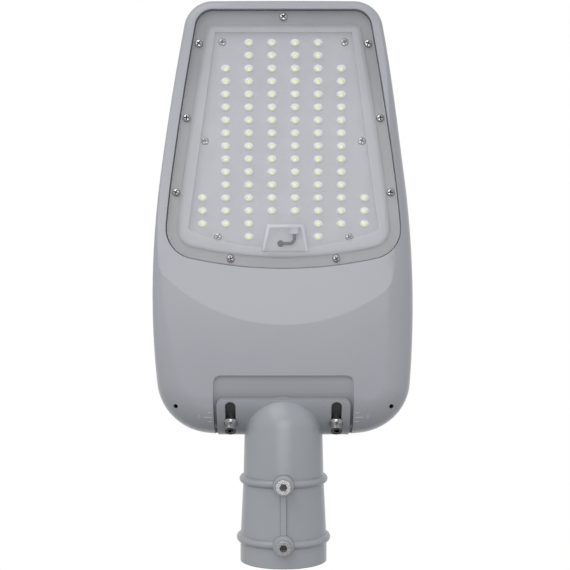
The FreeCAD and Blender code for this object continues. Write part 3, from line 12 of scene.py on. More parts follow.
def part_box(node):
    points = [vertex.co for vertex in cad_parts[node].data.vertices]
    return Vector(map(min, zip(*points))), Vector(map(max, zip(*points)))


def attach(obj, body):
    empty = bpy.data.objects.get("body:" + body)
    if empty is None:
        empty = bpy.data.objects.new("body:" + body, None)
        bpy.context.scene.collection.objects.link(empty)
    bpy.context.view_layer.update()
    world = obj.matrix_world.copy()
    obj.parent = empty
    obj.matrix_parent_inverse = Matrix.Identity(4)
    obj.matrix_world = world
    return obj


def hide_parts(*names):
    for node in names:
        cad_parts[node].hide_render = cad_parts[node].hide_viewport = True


bl_info = {
    "name": "LED Street Light Head",
    "version": (1, 0, 0),
    "blender": (4, 5, 0),
    "location": "View3D > Sidebar > Street Light",
    "description": "Dresses the solids of an LED street light head with its finishes and fine parts",
    "category": "Object",
}

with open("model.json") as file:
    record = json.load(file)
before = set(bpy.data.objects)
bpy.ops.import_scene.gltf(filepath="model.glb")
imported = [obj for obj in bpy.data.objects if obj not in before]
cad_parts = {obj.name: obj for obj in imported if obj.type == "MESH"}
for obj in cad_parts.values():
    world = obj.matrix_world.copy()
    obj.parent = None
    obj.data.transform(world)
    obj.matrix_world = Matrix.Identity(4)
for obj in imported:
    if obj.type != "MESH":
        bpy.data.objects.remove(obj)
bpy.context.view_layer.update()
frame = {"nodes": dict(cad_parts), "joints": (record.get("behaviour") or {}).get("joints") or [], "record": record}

MM = 0.001
PHOTO_SIDE = 570
SENSOR_MM = 36.0
TILT = frame["joints"][0]
TILT_AXIS = Vector(TILT["pos_m"])
STRIP_START = 21.0
STRIP_SWEEP = 46.0
BODY_OF = {
    node: body for body, nodes in frame["record"]["behaviour"]["bodies"].items() for node in nodes
}
HEAD_LOW, HEAD_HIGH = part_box("housing")
RIM_Z = -30.0 * MM
FACE_Z = RIM_Z + 5.0 * MM
CREST_Z = FACE_Z - 2.2 * MM
TIP_Y = HEAD_HIGH.y


class HeadSizes(bpy.types.PropertyGroup):
    """Sizes of what the solids leave to the scene. Those along the head are counted from its tip."""

    lens_half_long: bpy.props.FloatProperty(
        name="Lens half length", description="Across the head", default=4.7 * MM, unit="LENGTH"
    )
    lens_half_wide: bpy.props.FloatProperty(
        name="Lens half width", description="Along the head", default=3.8 * MM, unit="LENGTH"
    )
    lens_rise: bpy.props.FloatProperty(
        name="Lens rise", description="Above the panel", default=3.5 * MM, unit="LENGTH"
    )
    field_top_half: bpy.props.FloatProperty(
        name="Field top half", description="Half of its top edge", default=57.5 * MM, unit="LENGTH"
    )
    field_top: bpy.props.FloatProperty(
        name="Field top", description="Tip to its top edge", default=27.0 * MM, unit="LENGTH"
    )
    field_low_half: bpy.props.FloatProperty(
        name="Field low half", description="Half of its low edge", default=80.0 * MM, unit="LENGTH"
    )
    field_low: bpy.props.FloatProperty(
        name="Field corners", description="Tip to its corners", default=192.6 * MM, unit="LENGTH"
    )
    field_end: bpy.props.FloatProperty(
        name="Field end", description="Tip to its lowest point", default=208.5 * MM, unit="LENGTH"
    )
    crease_centre: bpy.props.FloatProperty(
        name="Crease centre", description="Tip to its centre", default=130.6 * MM, unit="LENGTH"
    )
    crease_radius: bpy.props.FloatProperty(
        name="Crease radius", description="Radius of the crescent", default=142.7 * MM, unit="LENGTH"
    )
    recess_wide: bpy.props.FloatProperty(
        name="Recess width", description="Arm of a cross recess", default=1.1 * MM, unit="LENGTH"
    )
    box_round: bpy.props.FloatProperty(
        name="Wire box round", description="Round of its top edges", default=2.8 * MM, unit="LENGTH"
    )
    seat_half: bpy.props.FloatProperty(
        name="Seat half width", description="Seat of the bracket", default=58.3 * MM, unit="LENGTH"
    )
    seat_far: bpy.props.FloatProperty(
        name="Seat reach", description="Past the tilt axis", default=4.3 * MM, unit="LENGTH"
    )
    bolt_angle: bpy.props.FloatProperty(
        name="Bolt angle", description="Tilt bolts, degrees from straight down", default=44.0
    )
    strip_wide: bpy.props.FloatProperty(
        name="Strip width", description="Strip behind a slot", default=10.0 * MM, unit="LENGTH"
    )
    strip_out: bpy.props.FloatProperty(
        name="Strip place", description="From the middle", default=45.0 * MM, unit="LENGTH"
    )
    strip_radius: bpy.props.FloatProperty(
        name="Strip radius", description="From the tilt axis", default=45.9 * MM, unit="LENGTH"
    )
    tick_long: bpy.props.FloatProperty(
        name="Tick length", description="Longest mark of the scale", default=7.0 * MM, unit="LENGTH"
    )
    tick_step: bpy.props.FloatProperty(
        name="Tick step", description="From mark to mark", default=4.1 * MM, unit="LENGTH"
    )


class HeadColours(bpy.types.PropertyGroup):
    """Colours of the finishes, as linear light."""

    paint: bpy.props.FloatVectorProperty(
        name="Paint", description="Powder coat of the castings", subtype="COLOR", size=3,
        default=(0.297, 0.308, 0.337),
    )
    bracket_paint: bpy.props.FloatVectorProperty(
        name="Bracket paint", description="Powder coat of the bracket", subtype="COLOR", size=3,
        default=(0.262, 0.277, 0.301),
    )
    clear: bpy.props.FloatVectorProperty(
        name="Clear plastic", description="Tint of the lens panel", subtype="COLOR", size=3,
        default=(0.43, 0.44, 0.47),
    )
    board: bpy.props.FloatVectorProperty(
        name="Board", description="Solder mask of the LED board", subtype="COLOR", size=3,
        default=(0.47, 0.475, 0.51),
    )
    phosphor: bpy.props.FloatVectorProperty(
        name="Phosphor", description="Face of an LED chip", subtype="COLOR", size=3,
        default=(0.76, 0.83, 0.14),
    )
    lens: bpy.props.FloatVectorProperty(
        name="Lens", description="Milky light in a lens", subtype="COLOR", size=3,
        default=(0.95, 0.95, 0.98),
    )
    steel: bpy.props.FloatVectorProperty(
        name="Steel", description="Stainless fasteners", subtype="COLOR", size=3,
        default=(0.60, 0.60, 0.61),
    )


class Wire:
    """One output socket of a material, with arithmetic that adds Math nodes."""

    def __init__(self, graph, socket):
        self.graph = graph
        self.socket = socket

    def math(self, operation, *values):
        return self.graph.add("ShaderNodeMath", {"operation": operation}, dict(enumerate(values)))

    def __add__(self, other):
        return self.math("ADD", self, other)

    def __radd__(self, other):
        return self.math("ADD", other, self)

    def __sub__(self, other):
        return self.math("SUBTRACT", self, other)

    def __rsub__(self, other):
        return self.math("SUBTRACT", other, self)

    def __mul__(self, other):
        return self.math("MULTIPLY", self, other)

    def __rmul__(self, other):
        return self.math("MULTIPLY", other, self)

    def __truediv__(self, other):
        return self.math("DIVIDE", self, other)


class Graph:
    """The nodes of one material or of the world."""

    def __init__(self, owner):
        self.owner = owner
        owner.use_nodes = True
        self.tree = owner.node_tree
        self.tree.nodes.clear()

    def add(self, kind, settings=None, sockets=None, output=0):
        """A node of this kind, its settings, and the values or links of its sockets."""
        node = self.tree.nodes.new(kind)
        for name, value in (settings or {}).items():
            if name == "stops":
                self.set_stops(node, value)
            else:
                setattr(node, name, value)
        for name, value in (sockets or {}).items():
            if isinstance(value, Wire):
                self.tree.links.new(value.socket, node.inputs[name])
            else:
                node.inputs[name].default_value = value
        return Wire(self, node.outputs[output]) if node.outputs else node

    def set_stops(self, node, stops):
        """The stops of a colour ramp."""
        ramp = node.color_ramp
        while len(ramp.elements) < len(stops):
            ramp.elements.new(0.5)
        for element, (place, colour) in zip(ramp.elements, stops):
            element.position = place
            element.color = (*colour, 1.0)

    def place(self):
        """Object coordinates."""
        return self.add("ShaderNodeTexCoord", output=3)

    def noise(self, scale, detail=2.0, roughness=0.5, vector=None):
        """Noise between 0 and 1."""
        sockets = {"Scale": scale, "Detail": detail, "Roughness": roughness}
        sockets["Vector"] = vector or self.place()
        return self.add("ShaderNodeTexNoise", sockets=sockets)

    def spread(self, value, low, high, from_low=0.0, from_high=1.0):
        """The value moved from one range to another."""
        sockets = {"Value": value, 1: from_low, 2: from_high, 3: low, 4: high}
        return self.add("ShaderNodeMapRange", sockets=sockets)

    def mix(self, share, one, two):
        """Two colours mixed."""
        first = (*one, 1.0) if isinstance(one, tuple) else one
        second = (*two, 1.0) if isinstance(two, tuple) else two
        return self.add("ShaderNodeMix", {"data_type": "RGBA"}, {0: share, 6: first, 7: second}, 2)

    def seat_shade_mask(self, half, far):
        """One on the seat of the bracket, which lies in this half width and short of this station; it carries the
        painted shade there.
        """
        place = self.place()
        x = self.add("ShaderNodeSeparateXYZ", sockets={"Vector": place}, output=0)
        y = self.add("ShaderNodeSeparateXYZ", sockets={"Vector": place}, output=1)
        return x.math("LESS_THAN", x.math("ABSOLUTE", x), half) * y.math("LESS_THAN", y, far)

    def bump(self, height, strength, distance, soften=0.0):
        """A bump over the surface, with its edges softened by a small radius."""
        sockets = {"Height": height, "Strength": strength, "Distance": distance}
        if soften:
            sockets["Normal"] = self.add("ShaderNodeBevel", {"samples": 4}, {"Radius": soften})
        return self.add("ShaderNodeBump", sockets=sockets)

    def finish(self, **sockets):
        """The shader and the output."""
        named = {name.replace("_", " "): value for name, value in sockets.items()}
        for name, value in named.items():
            if isinstance(value, tuple) and len(value) == 3:
                named[name] = (*value, 1.0)
        shader = self.add("ShaderNodeBsdfPrincipled", sockets=named)
        self.add("ShaderNodeOutputMaterial", sockets={"Surface": shader})
        return self.owner


def shade(colour, factor):
    """A colour made lighter or darker."""
    return tuple(min(1.0, part * factor) for part in colour)


def paint_material(name, colour, soften=0.0008, seat=False):
    """Powder coat on a casting: fine orange peel, slight clouding and a satin gloss. On the seat it is drawn
    darker as painted shade, and its gloss is duller.
    """
    graph = Graph(bpy.data.materials.new(name))
    cloud = graph.noise(14.0, 3.0)
    grain = graph.noise(1500.0, 2.0)
    peel = graph.noise(420.0, 1.0)
    tone = graph.mix(graph.spread(cloud, 0.0, 1.0, 0.1, 0.9), shade(colour, 0.96), shade(colour, 1.04))
    speck = graph.spread(grain, 0.0, 0.10, 0.35, 0.75)
    base = graph.mix(speck, tone, shade(colour, 0.75))
    gloss = graph.spread(cloud, 0.285, 0.33, 0.1, 0.9)
    if seat:
        painted_seat_shade = graph.seat_shade_mask(sizes().seat_half, TILT_AXIS.y + sizes().seat_far)
        # painted shade: the seat in the bracket's pocket is drawn darker, as where the flange shades it
        base = graph.mix(painted_seat_shade, base, shade(colour, 0.82))
        gloss = gloss + painted_seat_shade * 0.2
    height = grain * 0.6 + peel * 0.4
    return graph.finish(
        Base_Color=base,
        Roughness=gloss,
        Normal=graph.bump(height, 0.06, 0.0002, soften),
    )


def metal_material(name, colour, roughness=0.28):
    """Bright turned steel with faint marks."""
    graph = Graph(bpy.data.materials.new(name))
    marks = graph.noise(600.0, 3.0)
    base = graph.mix(graph.spread(marks, 0.0, 1.0, 0.35, 0.65), shade(colour, 0.95), shade(colour, 1.05))
    return graph.finish(
        Base_Color=base,
        Metallic=1.0,
        Roughness=graph.spread(marks, roughness * 0.85, roughness * 1.15),
        Normal=graph.bump(marks, 0.02, 0.0001, 0.0003),
    )


def plain_material(name, colour, roughness=0.5, grain=700.0, strength=0.1):
    """Moulded plastic or rubber with a fine texture. It also makes the painted shade in the screw recesses and
    behind the slots.
    """
    graph = Graph(bpy.data.materials.new(name))
    texture = graph.noise(grain, 2.0)
    base = graph.mix(graph.spread(texture, 0.0, 1.0), shade(colour, 0.93), shade(colour, 1.05))
    return graph.finish(
        Base_Color=base,
        Roughness=graph.spread(texture, roughness * 0.85, roughness * 1.15),
        Normal=graph.bump(texture, strength, 0.0002, 0.0003),
    )


def clear_material(name, colour, alpha, roughness=0.16):
    """Clear plastic: a thin grey tint that lets what lies behind it show, under a glossy face."""
    graph = Graph(bpy.data.materials.new(name))
    flow = graph.noise(22.0, 2.0)
    base = graph.mix(graph.spread(flow, 0.0, 1.0, 0.3, 0.7), shade(colour, 0.96), shade(colour, 1.04))
    return graph.finish(
        Base_Color=base,
        Roughness=roughness,
        Alpha=alpha,
        Normal=graph.bump(flow, 0.05, 0.0004, 0.0005),
    )


def dome_material(name, colour, crown_z, height):
    """Milky lens: dense at its foot, and clear at its crown, where the chip shows. It has a faint painted glow."""
    graph = Graph(bpy.data.materials.new(name))
    split = graph.add("ShaderNodeSeparateXYZ", sockets={"Vector": graph.place()}, output=2)
    rise = graph.spread(split, 1.0, 0.0, crown_z, crown_z + height)
    ramp = graph.add(
        "ShaderNodeValToRGB",
        {"stops": [(0.0, (0.04,) * 3), (0.5, (0.22,) * 3), (0.88, (0.4,) * 3), (1.0, (0.24,) * 3)]},
        {"Fac": rise},
    )
    return graph.finish(
        Base_Color=colour,
        Roughness=0.12,
        Alpha=ramp,
        # painted glow: the milky lens gives off a faint light of its own
        Emission_Color=colour,
        Emission_Strength=0.08,
    )


def glowing_chip_material(name, colour):
    """Phosphor face of an LED, with a painted glow though the LED is not lit."""
    graph = Graph(bpy.data.materials.new(name))
    grain = graph.noise(2500.0, 2.0)
    base = graph.mix(graph.spread(grain, 0.0, 1.0), shade(colour, 0.92), shade(colour, 1.05))
    return graph.finish(Base_Color=base, Roughness=0.5, Emission_Color=base, Emission_Strength=0.25)


def board_material(name, colour):
    """White solder mask with faint copper runs under it."""
    graph = Graph(bpy.data.materials.new(name))
    texture = graph.noise(60.0, 3.0)
    base = graph.mix(graph.spread(texture, 0.0, 1.0, 0.3, 0.7), shade(colour, 0.96), shade(colour, 1.03))
    return graph.finish(Base_Color=base, Roughness=0.45)


def material(kind, *values):
    """One material, made once."""
    name = values[0]
    found = bpy.data.materials.get(name)
    return found or kind(*values)


def colours():
    return bpy.context.scene.head_colours


def sizes():
    return bpy.context.scene.head_sizes


def as_tuple(colour):
    return tuple(float(part) for part in colour)


def new_piece(name, bm, materials, node, replace=True):
    """A finished mesh that rides with a node, and stands for it where it replaces it."""
    mesh = bpy.data.meshes.new(name)
    bm.to_mesh(mesh)
    bm.free()
    piece = bpy.data.objects.new(name, mesh)
    bpy.context.scene.collection.objects.link(piece)
    for finish in materials:
        mesh.materials.append(finish)
    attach(piece, BODY_OF[node])
    if replace:
        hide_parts(node)
    return piece


def merged_copy(node):
    """A bmesh of a solid with its loose triangles joined."""
    bm = bmesh.new()
    bm.from_mesh(frame["nodes"][node].data)
    bmesh.ops.remove_doubles(bm, verts=bm.verts, dist=2e-6)
    bmesh.ops.dissolve_degenerate(bm, edges=bm.edges, dist=1e-7)
    return bm


def mark_sharp(bm, angle, crease=None):
    """Smooth faces with sharp edges where the surface turns, or where the crease test says so."""
    for face in bm.faces:
        face.smooth = True
    for edge in bm.edges:
        turns = len(edge.link_faces) != 2 or edge.calc_face_angle(pi) > angle
        edge.smooth = not (turns or (crease is not None and crease(edge)))


def weigh_normals(piece):
    """Flat faces keep their flat look beside rounded ones."""
    modifier = piece.modifiers.new("face weights", "WEIGHTED_NORMAL")
    modifier.keep_sharp = True
    modifier.weight = 50


def dress(node, finish):
    """Give a solid that keeps its own mesh a finish and smooth shading."""
    piece = frame["nodes"][node]
    piece.data.materials.clear()
    piece.data.materials.append(finish)
    for face in piece.data.polygons:
        face.use_smooth = True
    weld = piece.modifiers.new("join", "WELD")
    weld.merge_threshold = 2e-6
    split = piece.modifiers.new("edges", "EDGE_SPLIT")
    split.split_angle = radians(32)
    return piece


def islands(bm):
    """The vertices of each loose solid."""
    left = set(bm.verts)
    groups = []
    while left:
        queue = [left.pop()]
        group = []
        while queue:
            vertex = queue.pop()
            group.append(vertex)
            for edge in vertex.link_edges:
                other = edge.other_vert(vertex)
                if other in left:
                    left.remove(other)
                    queue.append(other)
        groups.append(group)
    return groups


def boxes_of(node):
    """The low and high corner of each solid of a node."""
    bm = merged_copy(node)
    boxes = []
    for group in islands(bm):
        low = Vector([min(vertex.co[axis] for vertex in group) for axis in range(3)])
        high = Vector([max(vertex.co[axis] for vertex in group) for axis in range(3)])
        boxes.append((low, high))
    bm.free()
    return boxes


def revolve(bm, profile, steps):
    """A closed solid from points given as radius and height, turned about Z."""
    points = [bm.verts.new((radius, 0.0, height)) for radius, height in profile]
    edges = [bm.edges.new(pair) for pair in zip(points, points[1:])]
    bmesh.ops.spin(
        bm, geom=points + edges, cent=(0, 0, 0), axis=(0, 0, 1), angle=2 * pi, steps=steps,
        use_merge=True,
    )
    bmesh.ops.remove_doubles(bm, verts=bm.verts, dist=1e-6)
    bmesh.ops.recalc_face_normals(bm, faces=bm.faces)


def mesh_object(name, bm):
    """A mesh object in the scene that isn't a piece yet."""
    mesh = bpy.data.meshes.new(name)
    bm.to_mesh(mesh)
    bm.free()
    item = bpy.data.objects.new(name, mesh)
    bpy.context.scene.collection.objects.link(item)
    return item


def cut_away(item, cutters):
    """The mesh of an object with the cutters taken out of it. All of them are removed."""
    for cutter in cutters:
        modifier = item.modifiers.new(cutter.name, "BOOLEAN")
        modifier.object = cutter
        modifier.operation = "DIFFERENCE"
        modifier.solver = "EXACT"
    graph = bpy.context.evaluated_depsgraph_get()
    mesh = bpy.data.meshes.new_from_object(item.evaluated_get(graph))
    for used in [item] + cutters:
        data = used.data
        bpy.data.objects.remove(used)
        bpy.data.meshes.remove(data)
    return mesh


def spread_copies(one, places):
    """Copies of a bmesh at several places, as one bmesh."""
    shape = bpy.data.meshes.new("one_copy")
    one.to_mesh(shape)
    one.free()
    bm = bmesh.new()
    for place in places:
        first = len(bm.verts)
        bm.from_mesh(shape)
        bm.verts.ensure_lookup_table()
        bmesh.ops.transform(bm, matrix=place, verts=bm.verts[first:])
    bpy.data.meshes.remove(shape)
    return bm


class LIGHTHEAD_OT_castings(bpy.types.Operator):
    """Housing, driver cover and bracket: smooth castings with their paint"""

    bl_idname = "lighthead.castings"
    bl_label = "Castings"

    def execute(self, context):
        size = sizes()
        paint = as_tuple(colours().paint)

        def on_crease(edge):
            for vertex in edge.verts:
                spot = vertex.co
                reach = Vector((spot.x, spot.y - TIP_Y + size.crease_centre)).length
                if abs(spot.z - RIM_Z) > 2e-5 or abs(reach - size.crease_radius) > 6e-4:
                    return False
            return True

        for node, tone, soften in (
            ("housing", paint, 0.0008),
            ("driver_cover", paint, 0.0008),
            ("bracket", as_tuple(colours().bracket_paint), 0.0014),
        ):
            bm = merged_copy(node)
            mark_sharp(bm, radians(28), on_crease if node == "housing" else None)
            name = f"{node}_powder_coat"
            # the housing's coat gets the painted shade on the bracket's seat
            finish = material(paint_material, name, tone, soften, node == "housing")
            piece = new_piece(f"{node}_casting", bm, [finish], node)
            weigh_normals(piece)
        self.make_slot_shadows()
        return {"FINISHED"}

    def make_slot_shadows(self):
        """A thin dark strip behind each slot, which turns with the bracket: painted shadow for the shade inside
        the slot.
        """
        size = sizes()
        bm = bmesh.new()
        for side in (-1, 1):
            made = bmesh.ops.create_cube(bm, size=1.0)["verts"]
            faces = {face for vertex in made for face in vertex.link_faces if face.normal.y < -0.5}
            bmesh.ops.scale(bm, verts=made, vec=(size.strip_wide, 0.2 * MM, 0.1 * MM))
            centre = TILT_AXIS + Vector((side * size.strip_out, 0, -size.strip_radius))
            bmesh.ops.translate(bm, verts=made, vec=centre)
            bmesh.ops.rotate(
                bm, verts=made, cent=TILT_AXIS, matrix=Matrix.Rotation(-radians(STRIP_START), 3, "X")
            )
            bmesh.ops.spin(
                bm, geom=list(faces), cent=TILT_AXIS, axis=(1, 0, 0), angle=-radians(STRIP_SWEEP),
                steps=16, use_merge=False,
            )
        bmesh.ops.recalc_face_normals(bm, faces=bm.faces)
        # painted shadow: a near-black finish stands for the shade inside each slot
        finish = material(plain_material, "slot_strip", (0.045, 0.046, 0.05), 0.6)
        new_piece("slot_strips", bm, [finish], "bracket", replace=False)


class LIGHTHEAD_OT_lens_panel(bpy.types.Operator):
    """The clear panel: its plate with field and rim, and a smooth dome over each LED"""

    bl_idname = "lighthead.lens_panel"
    bl_label = "Lens panel"

    def in_field(self, x, y):
        """Whether a point lies in the lens field."""
        size = sizes()
        down = TIP_Y - y
        if down < size.field_top or down > size.field_end:
            return False
        run = (down - size.field_top) / (size.field_low - size.field_top)
        side = size.field_top_half + (size.field_low_half - size.field_top_half) * min(run, 1.0)
        return abs(x) < side

    def zone(self, face):
        """Which finish a face of the panel gets: field, ridge, flange, box, box wall or back."""
        spot = face.calc_center_median()
        if face.normal.z > 0.5:
            return 5
        if spot.z < CREST_Z - 5e-5:
            return 3 if face.normal.z < -0.5 else 4
        if face.normal.z < -0.5 and abs(spot.z - FACE_Z) < 5e-5:
            return 0 if self.in_field(spot.x, spot.y) else 2
        return 1

    def execute(self, context):
        clear = as_tuple(colours().clear)
        finishes = [
            material(clear_material, "panel_field", clear, 0.24),
            material(clear_material, "panel_ridge", clear, 0.5),
            material(clear_material, "panel_flange", shade(clear, 0.93), 0.62),
            material(clear_material, "wire_box_face", clear, 0.22),
            # painted highlight: the walls of the wire box are drawn lighter than the clear plate
            material(clear_material, "wire_box_wall", shade(clear, 1.45), 0.5),
            material(clear_material, "panel_back", clear, 0.04),
        ]
        bm = merged_copy("lens_panel")
        spots = [((low + high) / 2) for low, high in boxes_of("led_chips")]
        self.drop_facets(bm, spots)
        mark_sharp(bm, radians(28))
        bm.normal_update()
        for face in bm.faces:
            face.material_index = self.zone(face)
        self.round_box(bm)
        plate = new_piece("lens_panel_plate", bm, finishes, "lens_panel")
        weigh_normals(plate)
        crown_z = FACE_Z - sizes().lens_rise
        lens = material(dome_material, "lens_clear", as_tuple(colours().lens), crown_z, sizes().lens_rise)
        new_piece("lens_domes", self.make_domes(spots), [lens], "lens_panel")
        return {"FINISHED"}

    def round_box(self, bm):
        """A broad round along the top edges of the wire box, in the lighter wall finish that paints a highlight on
        them.
        """
        top = [face for face in bm.faces if face.material_index == 3]
        bmesh.ops.dissolve_faces(bm, faces=top, use_verts=False)
        edges = set()
        for face in bm.faces:
            if face.material_index == 3:
                low = min(vertex.co.y for vertex in face.verts) + 5e-4
                for edge in face.edges:
                    if not edge.smooth and max(vertex.co.y for vertex in edge.verts) > low:
                        edges.add(edge)
        bmesh.ops.bevel(
            bm, geom=list(edges), offset=sizes().box_round, segments=3, profile=0.5, affect="EDGES",
            material=4,
        )

    def drop_facets(self, bm, spots):
        """Take the coarse domes off the plate and close the openings they leave."""
        size = sizes()
        doomed = []
        for face in bm.faces:
            middle = face.calc_center_median()
            if middle.z > FACE_Z - 2e-5:
                continue
            for spot in spots:
                near_x = abs(middle.x - spot.x) < size.lens_half_long
                if near_x and abs(middle.y - spot.y) < size.lens_half_wide:
                    doomed.append(face)
                    break
        bmesh.ops.delete(bm, geom=doomed, context="FACES")
        rims = [edge for edge in bm.edges if len(edge.link_faces) == 1]
        bmesh.ops.holes_fill(bm, edges=rims, sides=12)

    def make_domes(self, spots):
        """A smooth low dome over each LED."""
        size = sizes()
        one = bmesh.new()
        bmesh.ops.create_uvsphere(one, u_segments=16, v_segments=10, radius=1.0)
        bmesh.ops.bisect_plane(
            one, geom=one.verts[:] + one.edges[:] + one.faces[:], dist=1e-6,
            plane_co=(0, 0, 0), plane_no=(0, 0, 1), clear_outer=True,
        )
        bmesh.ops.scale(one, verts=one.verts, vec=(size.lens_half_long, size.lens_half_wide, size.lens_rise))
        for face in one.faces:
            face.smooth = True
        return spread_copies(one, [Matrix.Translation((spot.x, spot.y, FACE_Z - 2e-5)) for spot in spots])


class LIGHTHEAD_OT_board(bpy.types.Operator):
    """The LED board, its chips, connector and lead"""

    bl_idname = "lighthead.board"
    bl_label = "LED board"

    def execute(self, context):
        palette = colours()
        dress("led_board", material(board_material, "solder_mask", as_tuple(palette.board)))
        dress("led_chips", material(glowing_chip_material, "phosphor", as_tuple(palette.phosphor)))
        dress("board_connector", material(plain_material, "connector_nylon", as_tuple(palette.board), 0.4))
        dress("board_lead", material(plain_material, "lead_black", (0.03, 0.03, 0.035), 0.4))
        dress("lead_grommet", material(plain_material, "black_rubber", (0.05, 0.05, 0.052), 0.6))
        dress("cable_grommet", bpy.data.materials["black_rubber"])
        dress("lens_gasket", material(plain_material, "silicone_seal", (0.20, 0.20, 0.21), 0.6))
        dress("cover_gasket", bpy.data.materials["silicone_seal"])
        return {"FINISHED"}


class LIGHTHEAD_OT_bay(bpy.types.Operator):
    """What the driver bay holds"""

    bl_idname = "lighthead.bay"
    bl_label = "Driver bay"

    def execute(self, context):
        dress("driver", material(metal_material, "driver_aluminium", (0.6, 0.61, 0.62), 0.45))
        dress("surge_protector", material(plain_material, "surge_plastic", (0.05, 0.05, 0.055), 0.5))
        dress("terminal_block", material(plain_material, "white_nylon", (0.6, 0.6, 0.62), 0.4))
        dress("terminal_screws", material(metal_material, "brass", (0.7, 0.5, 0.2), 0.3))
        return {"FINISHED"}


class LIGHTHEAD_OT_fasteners(bpy.types.Operator):
    """Screws with their recesses, bolts and washers with broken edges"""

    bl_idname = "lighthead.fasteners"
    bl_label = "Fasteners"

    def execute(self, context):
        size = sizes()
        steel = material(metal_material, "stainless_steel", as_tuple(colours().steel), 0.2)
        dull = material(metal_material, "cross_head_steel", shade(as_tuple(colours().steel), 0.7), 0.22)
        # painted shade: a near-black finish for the inside of the cross recesses
        recess_shade = material(plain_material, "recess_shadow", (0.02, 0.02, 0.02), 0.6)
        # painted shade: a much darker copy of the steel for the insides of the sockets
        socket = material(metal_material, "socket_steel", shade(as_tuple(colours().steel), 0.16), 0.2)
        for node, tall, down in (
            ("lens_screws", 2.2, True),
            ("board_screws", 0.9, True),
            ("cover_screws", 2.2, False),
            ("driver_screws", 2.2, False),
        ):
            self.make_screws(node, tall * MM, down, [dull, recess_shade])
        for node, bevel in (
            ("clamp_screws", 0.9), ("tilt_bolts", 0.5), ("tilt_washers", 0.2), ("spring_washers", 0.2),
        ):
            bm = merged_copy(node)
            mark_sharp(bm, radians(30))
            if node == "clamp_screws":
                self.shade_sockets(bm, Vector((0, 0, -1)), 3.5 * MM)
            if node == "tilt_bolts":
                turn = radians(size.bolt_angle)
                self.shade_sockets(bm, Vector((0, -sin(turn), -cos(turn))), 2.65 * MM)
            piece = new_piece(f"{node}_turned", bm, [steel, socket], node)
            edge = piece.modifiers.new("broken edges", "BEVEL")
            edge.width = bevel * MM
            edge.segments = 2
            edge.limit_method = "ANGLE"
            edge.angle_limit = radians(40)
            weigh_normals(piece)
        return {"FINISHED"}

    def shade_sockets(self, bm, aim, radius):
        """Give the sunk faces of each socket the dark finish, a painted shade. The screws point along the aim."""
        for group in islands(bm):
            middle = sum((vertex.co for vertex in group), Vector()) / len(group)
            top = max(vertex.co.dot(aim) for vertex in group)
            for face in {face for vertex in group for face in vertex.link_faces}:
                spot = face.calc_center_median()
                off = spot - middle
                near = (off - aim * off.dot(aim)).length < radius
                sunk = top - spot.dot(aim)
                if near and 5e-5 < sunk < radius * 1.6:
                    face.material_index = 1

    def make_screws(self, node, tall, down, finishes):
        """Round heads with a cross recess, on the places of a node's solids."""
        size = sizes()
        boxes = boxes_of(node)
        low, high = boxes[0]
        head = (high.x - low.x) / 2
        reach = high.z - low.z
        shank = head * 0.58
        bm = bmesh.new()
        profile = [
            (0.0, -tall), (head * 0.5, -tall * 0.97), (head * 0.82, -tall * 0.78),
            (head * 0.97, -tall * 0.4), (head, -tall * 0.12), (head, 0.0), (shank, 0.0),
            (shank, reach - tall - shank * 0.4), (shank * 0.6, reach - tall), (0.0, reach - tall),
        ]
        revolve(bm, profile, 28)
        item = mesh_object("screw_blank", bm)
        cutters = []
        for turn in (0.0, pi / 2):
            arm = bmesh.new()
            bmesh.ops.create_cube(arm, size=1.0)
            bmesh.ops.scale(arm, verts=arm.verts, vec=(head * 1.3, size.recess_wide, tall))
            bmesh.ops.rotate(arm, verts=arm.verts, cent=(0, 0, 0), matrix=Matrix.Rotation(turn, 3, "Z"))
            bmesh.ops.translate(arm, verts=arm.verts, vec=(0, 0, -tall * 0.98))
            cutters.append(mesh_object(f"recess_arm_{len(cutters)}", arm))
        shape = cut_away(item, cutters)
        one = bmesh.new()
        one.from_mesh(shape)
        bpy.data.meshes.remove(shape)
        reach = head * 0.65 + 1e-5
        narrow = size.recess_wide / 2 + 1e-5
        for face in one.faces:
            spot = face.calc_center_median()
            one_way = abs(spot.x) < reach and abs(spot.y) < narrow
            other_way = abs(spot.y) < reach and abs(spot.x) < narrow
            face.material_index = 1 if (one_way or other_way) and spot.z < -tall * 0.4 else 0
        places = []
        for number, (low, high) in enumerate(boxes):
            middle = (low + high) / 2
            seat = low.z + tall if down else high.z - tall
            flip = Matrix.Identity(4) if down else Matrix.Rotation(pi, 4, "X")
            turn = Matrix.Rotation(radians(37.0 * number), 4, "Z")
            places.append(Matrix.Translation((middle.x, middle.y, seat)) @ flip @ turn)
        bm = spread_copies(one, places)
        mark_sharp(bm, radians(35))
        new_piece(f"{node}_crossed", bm, finishes, node)


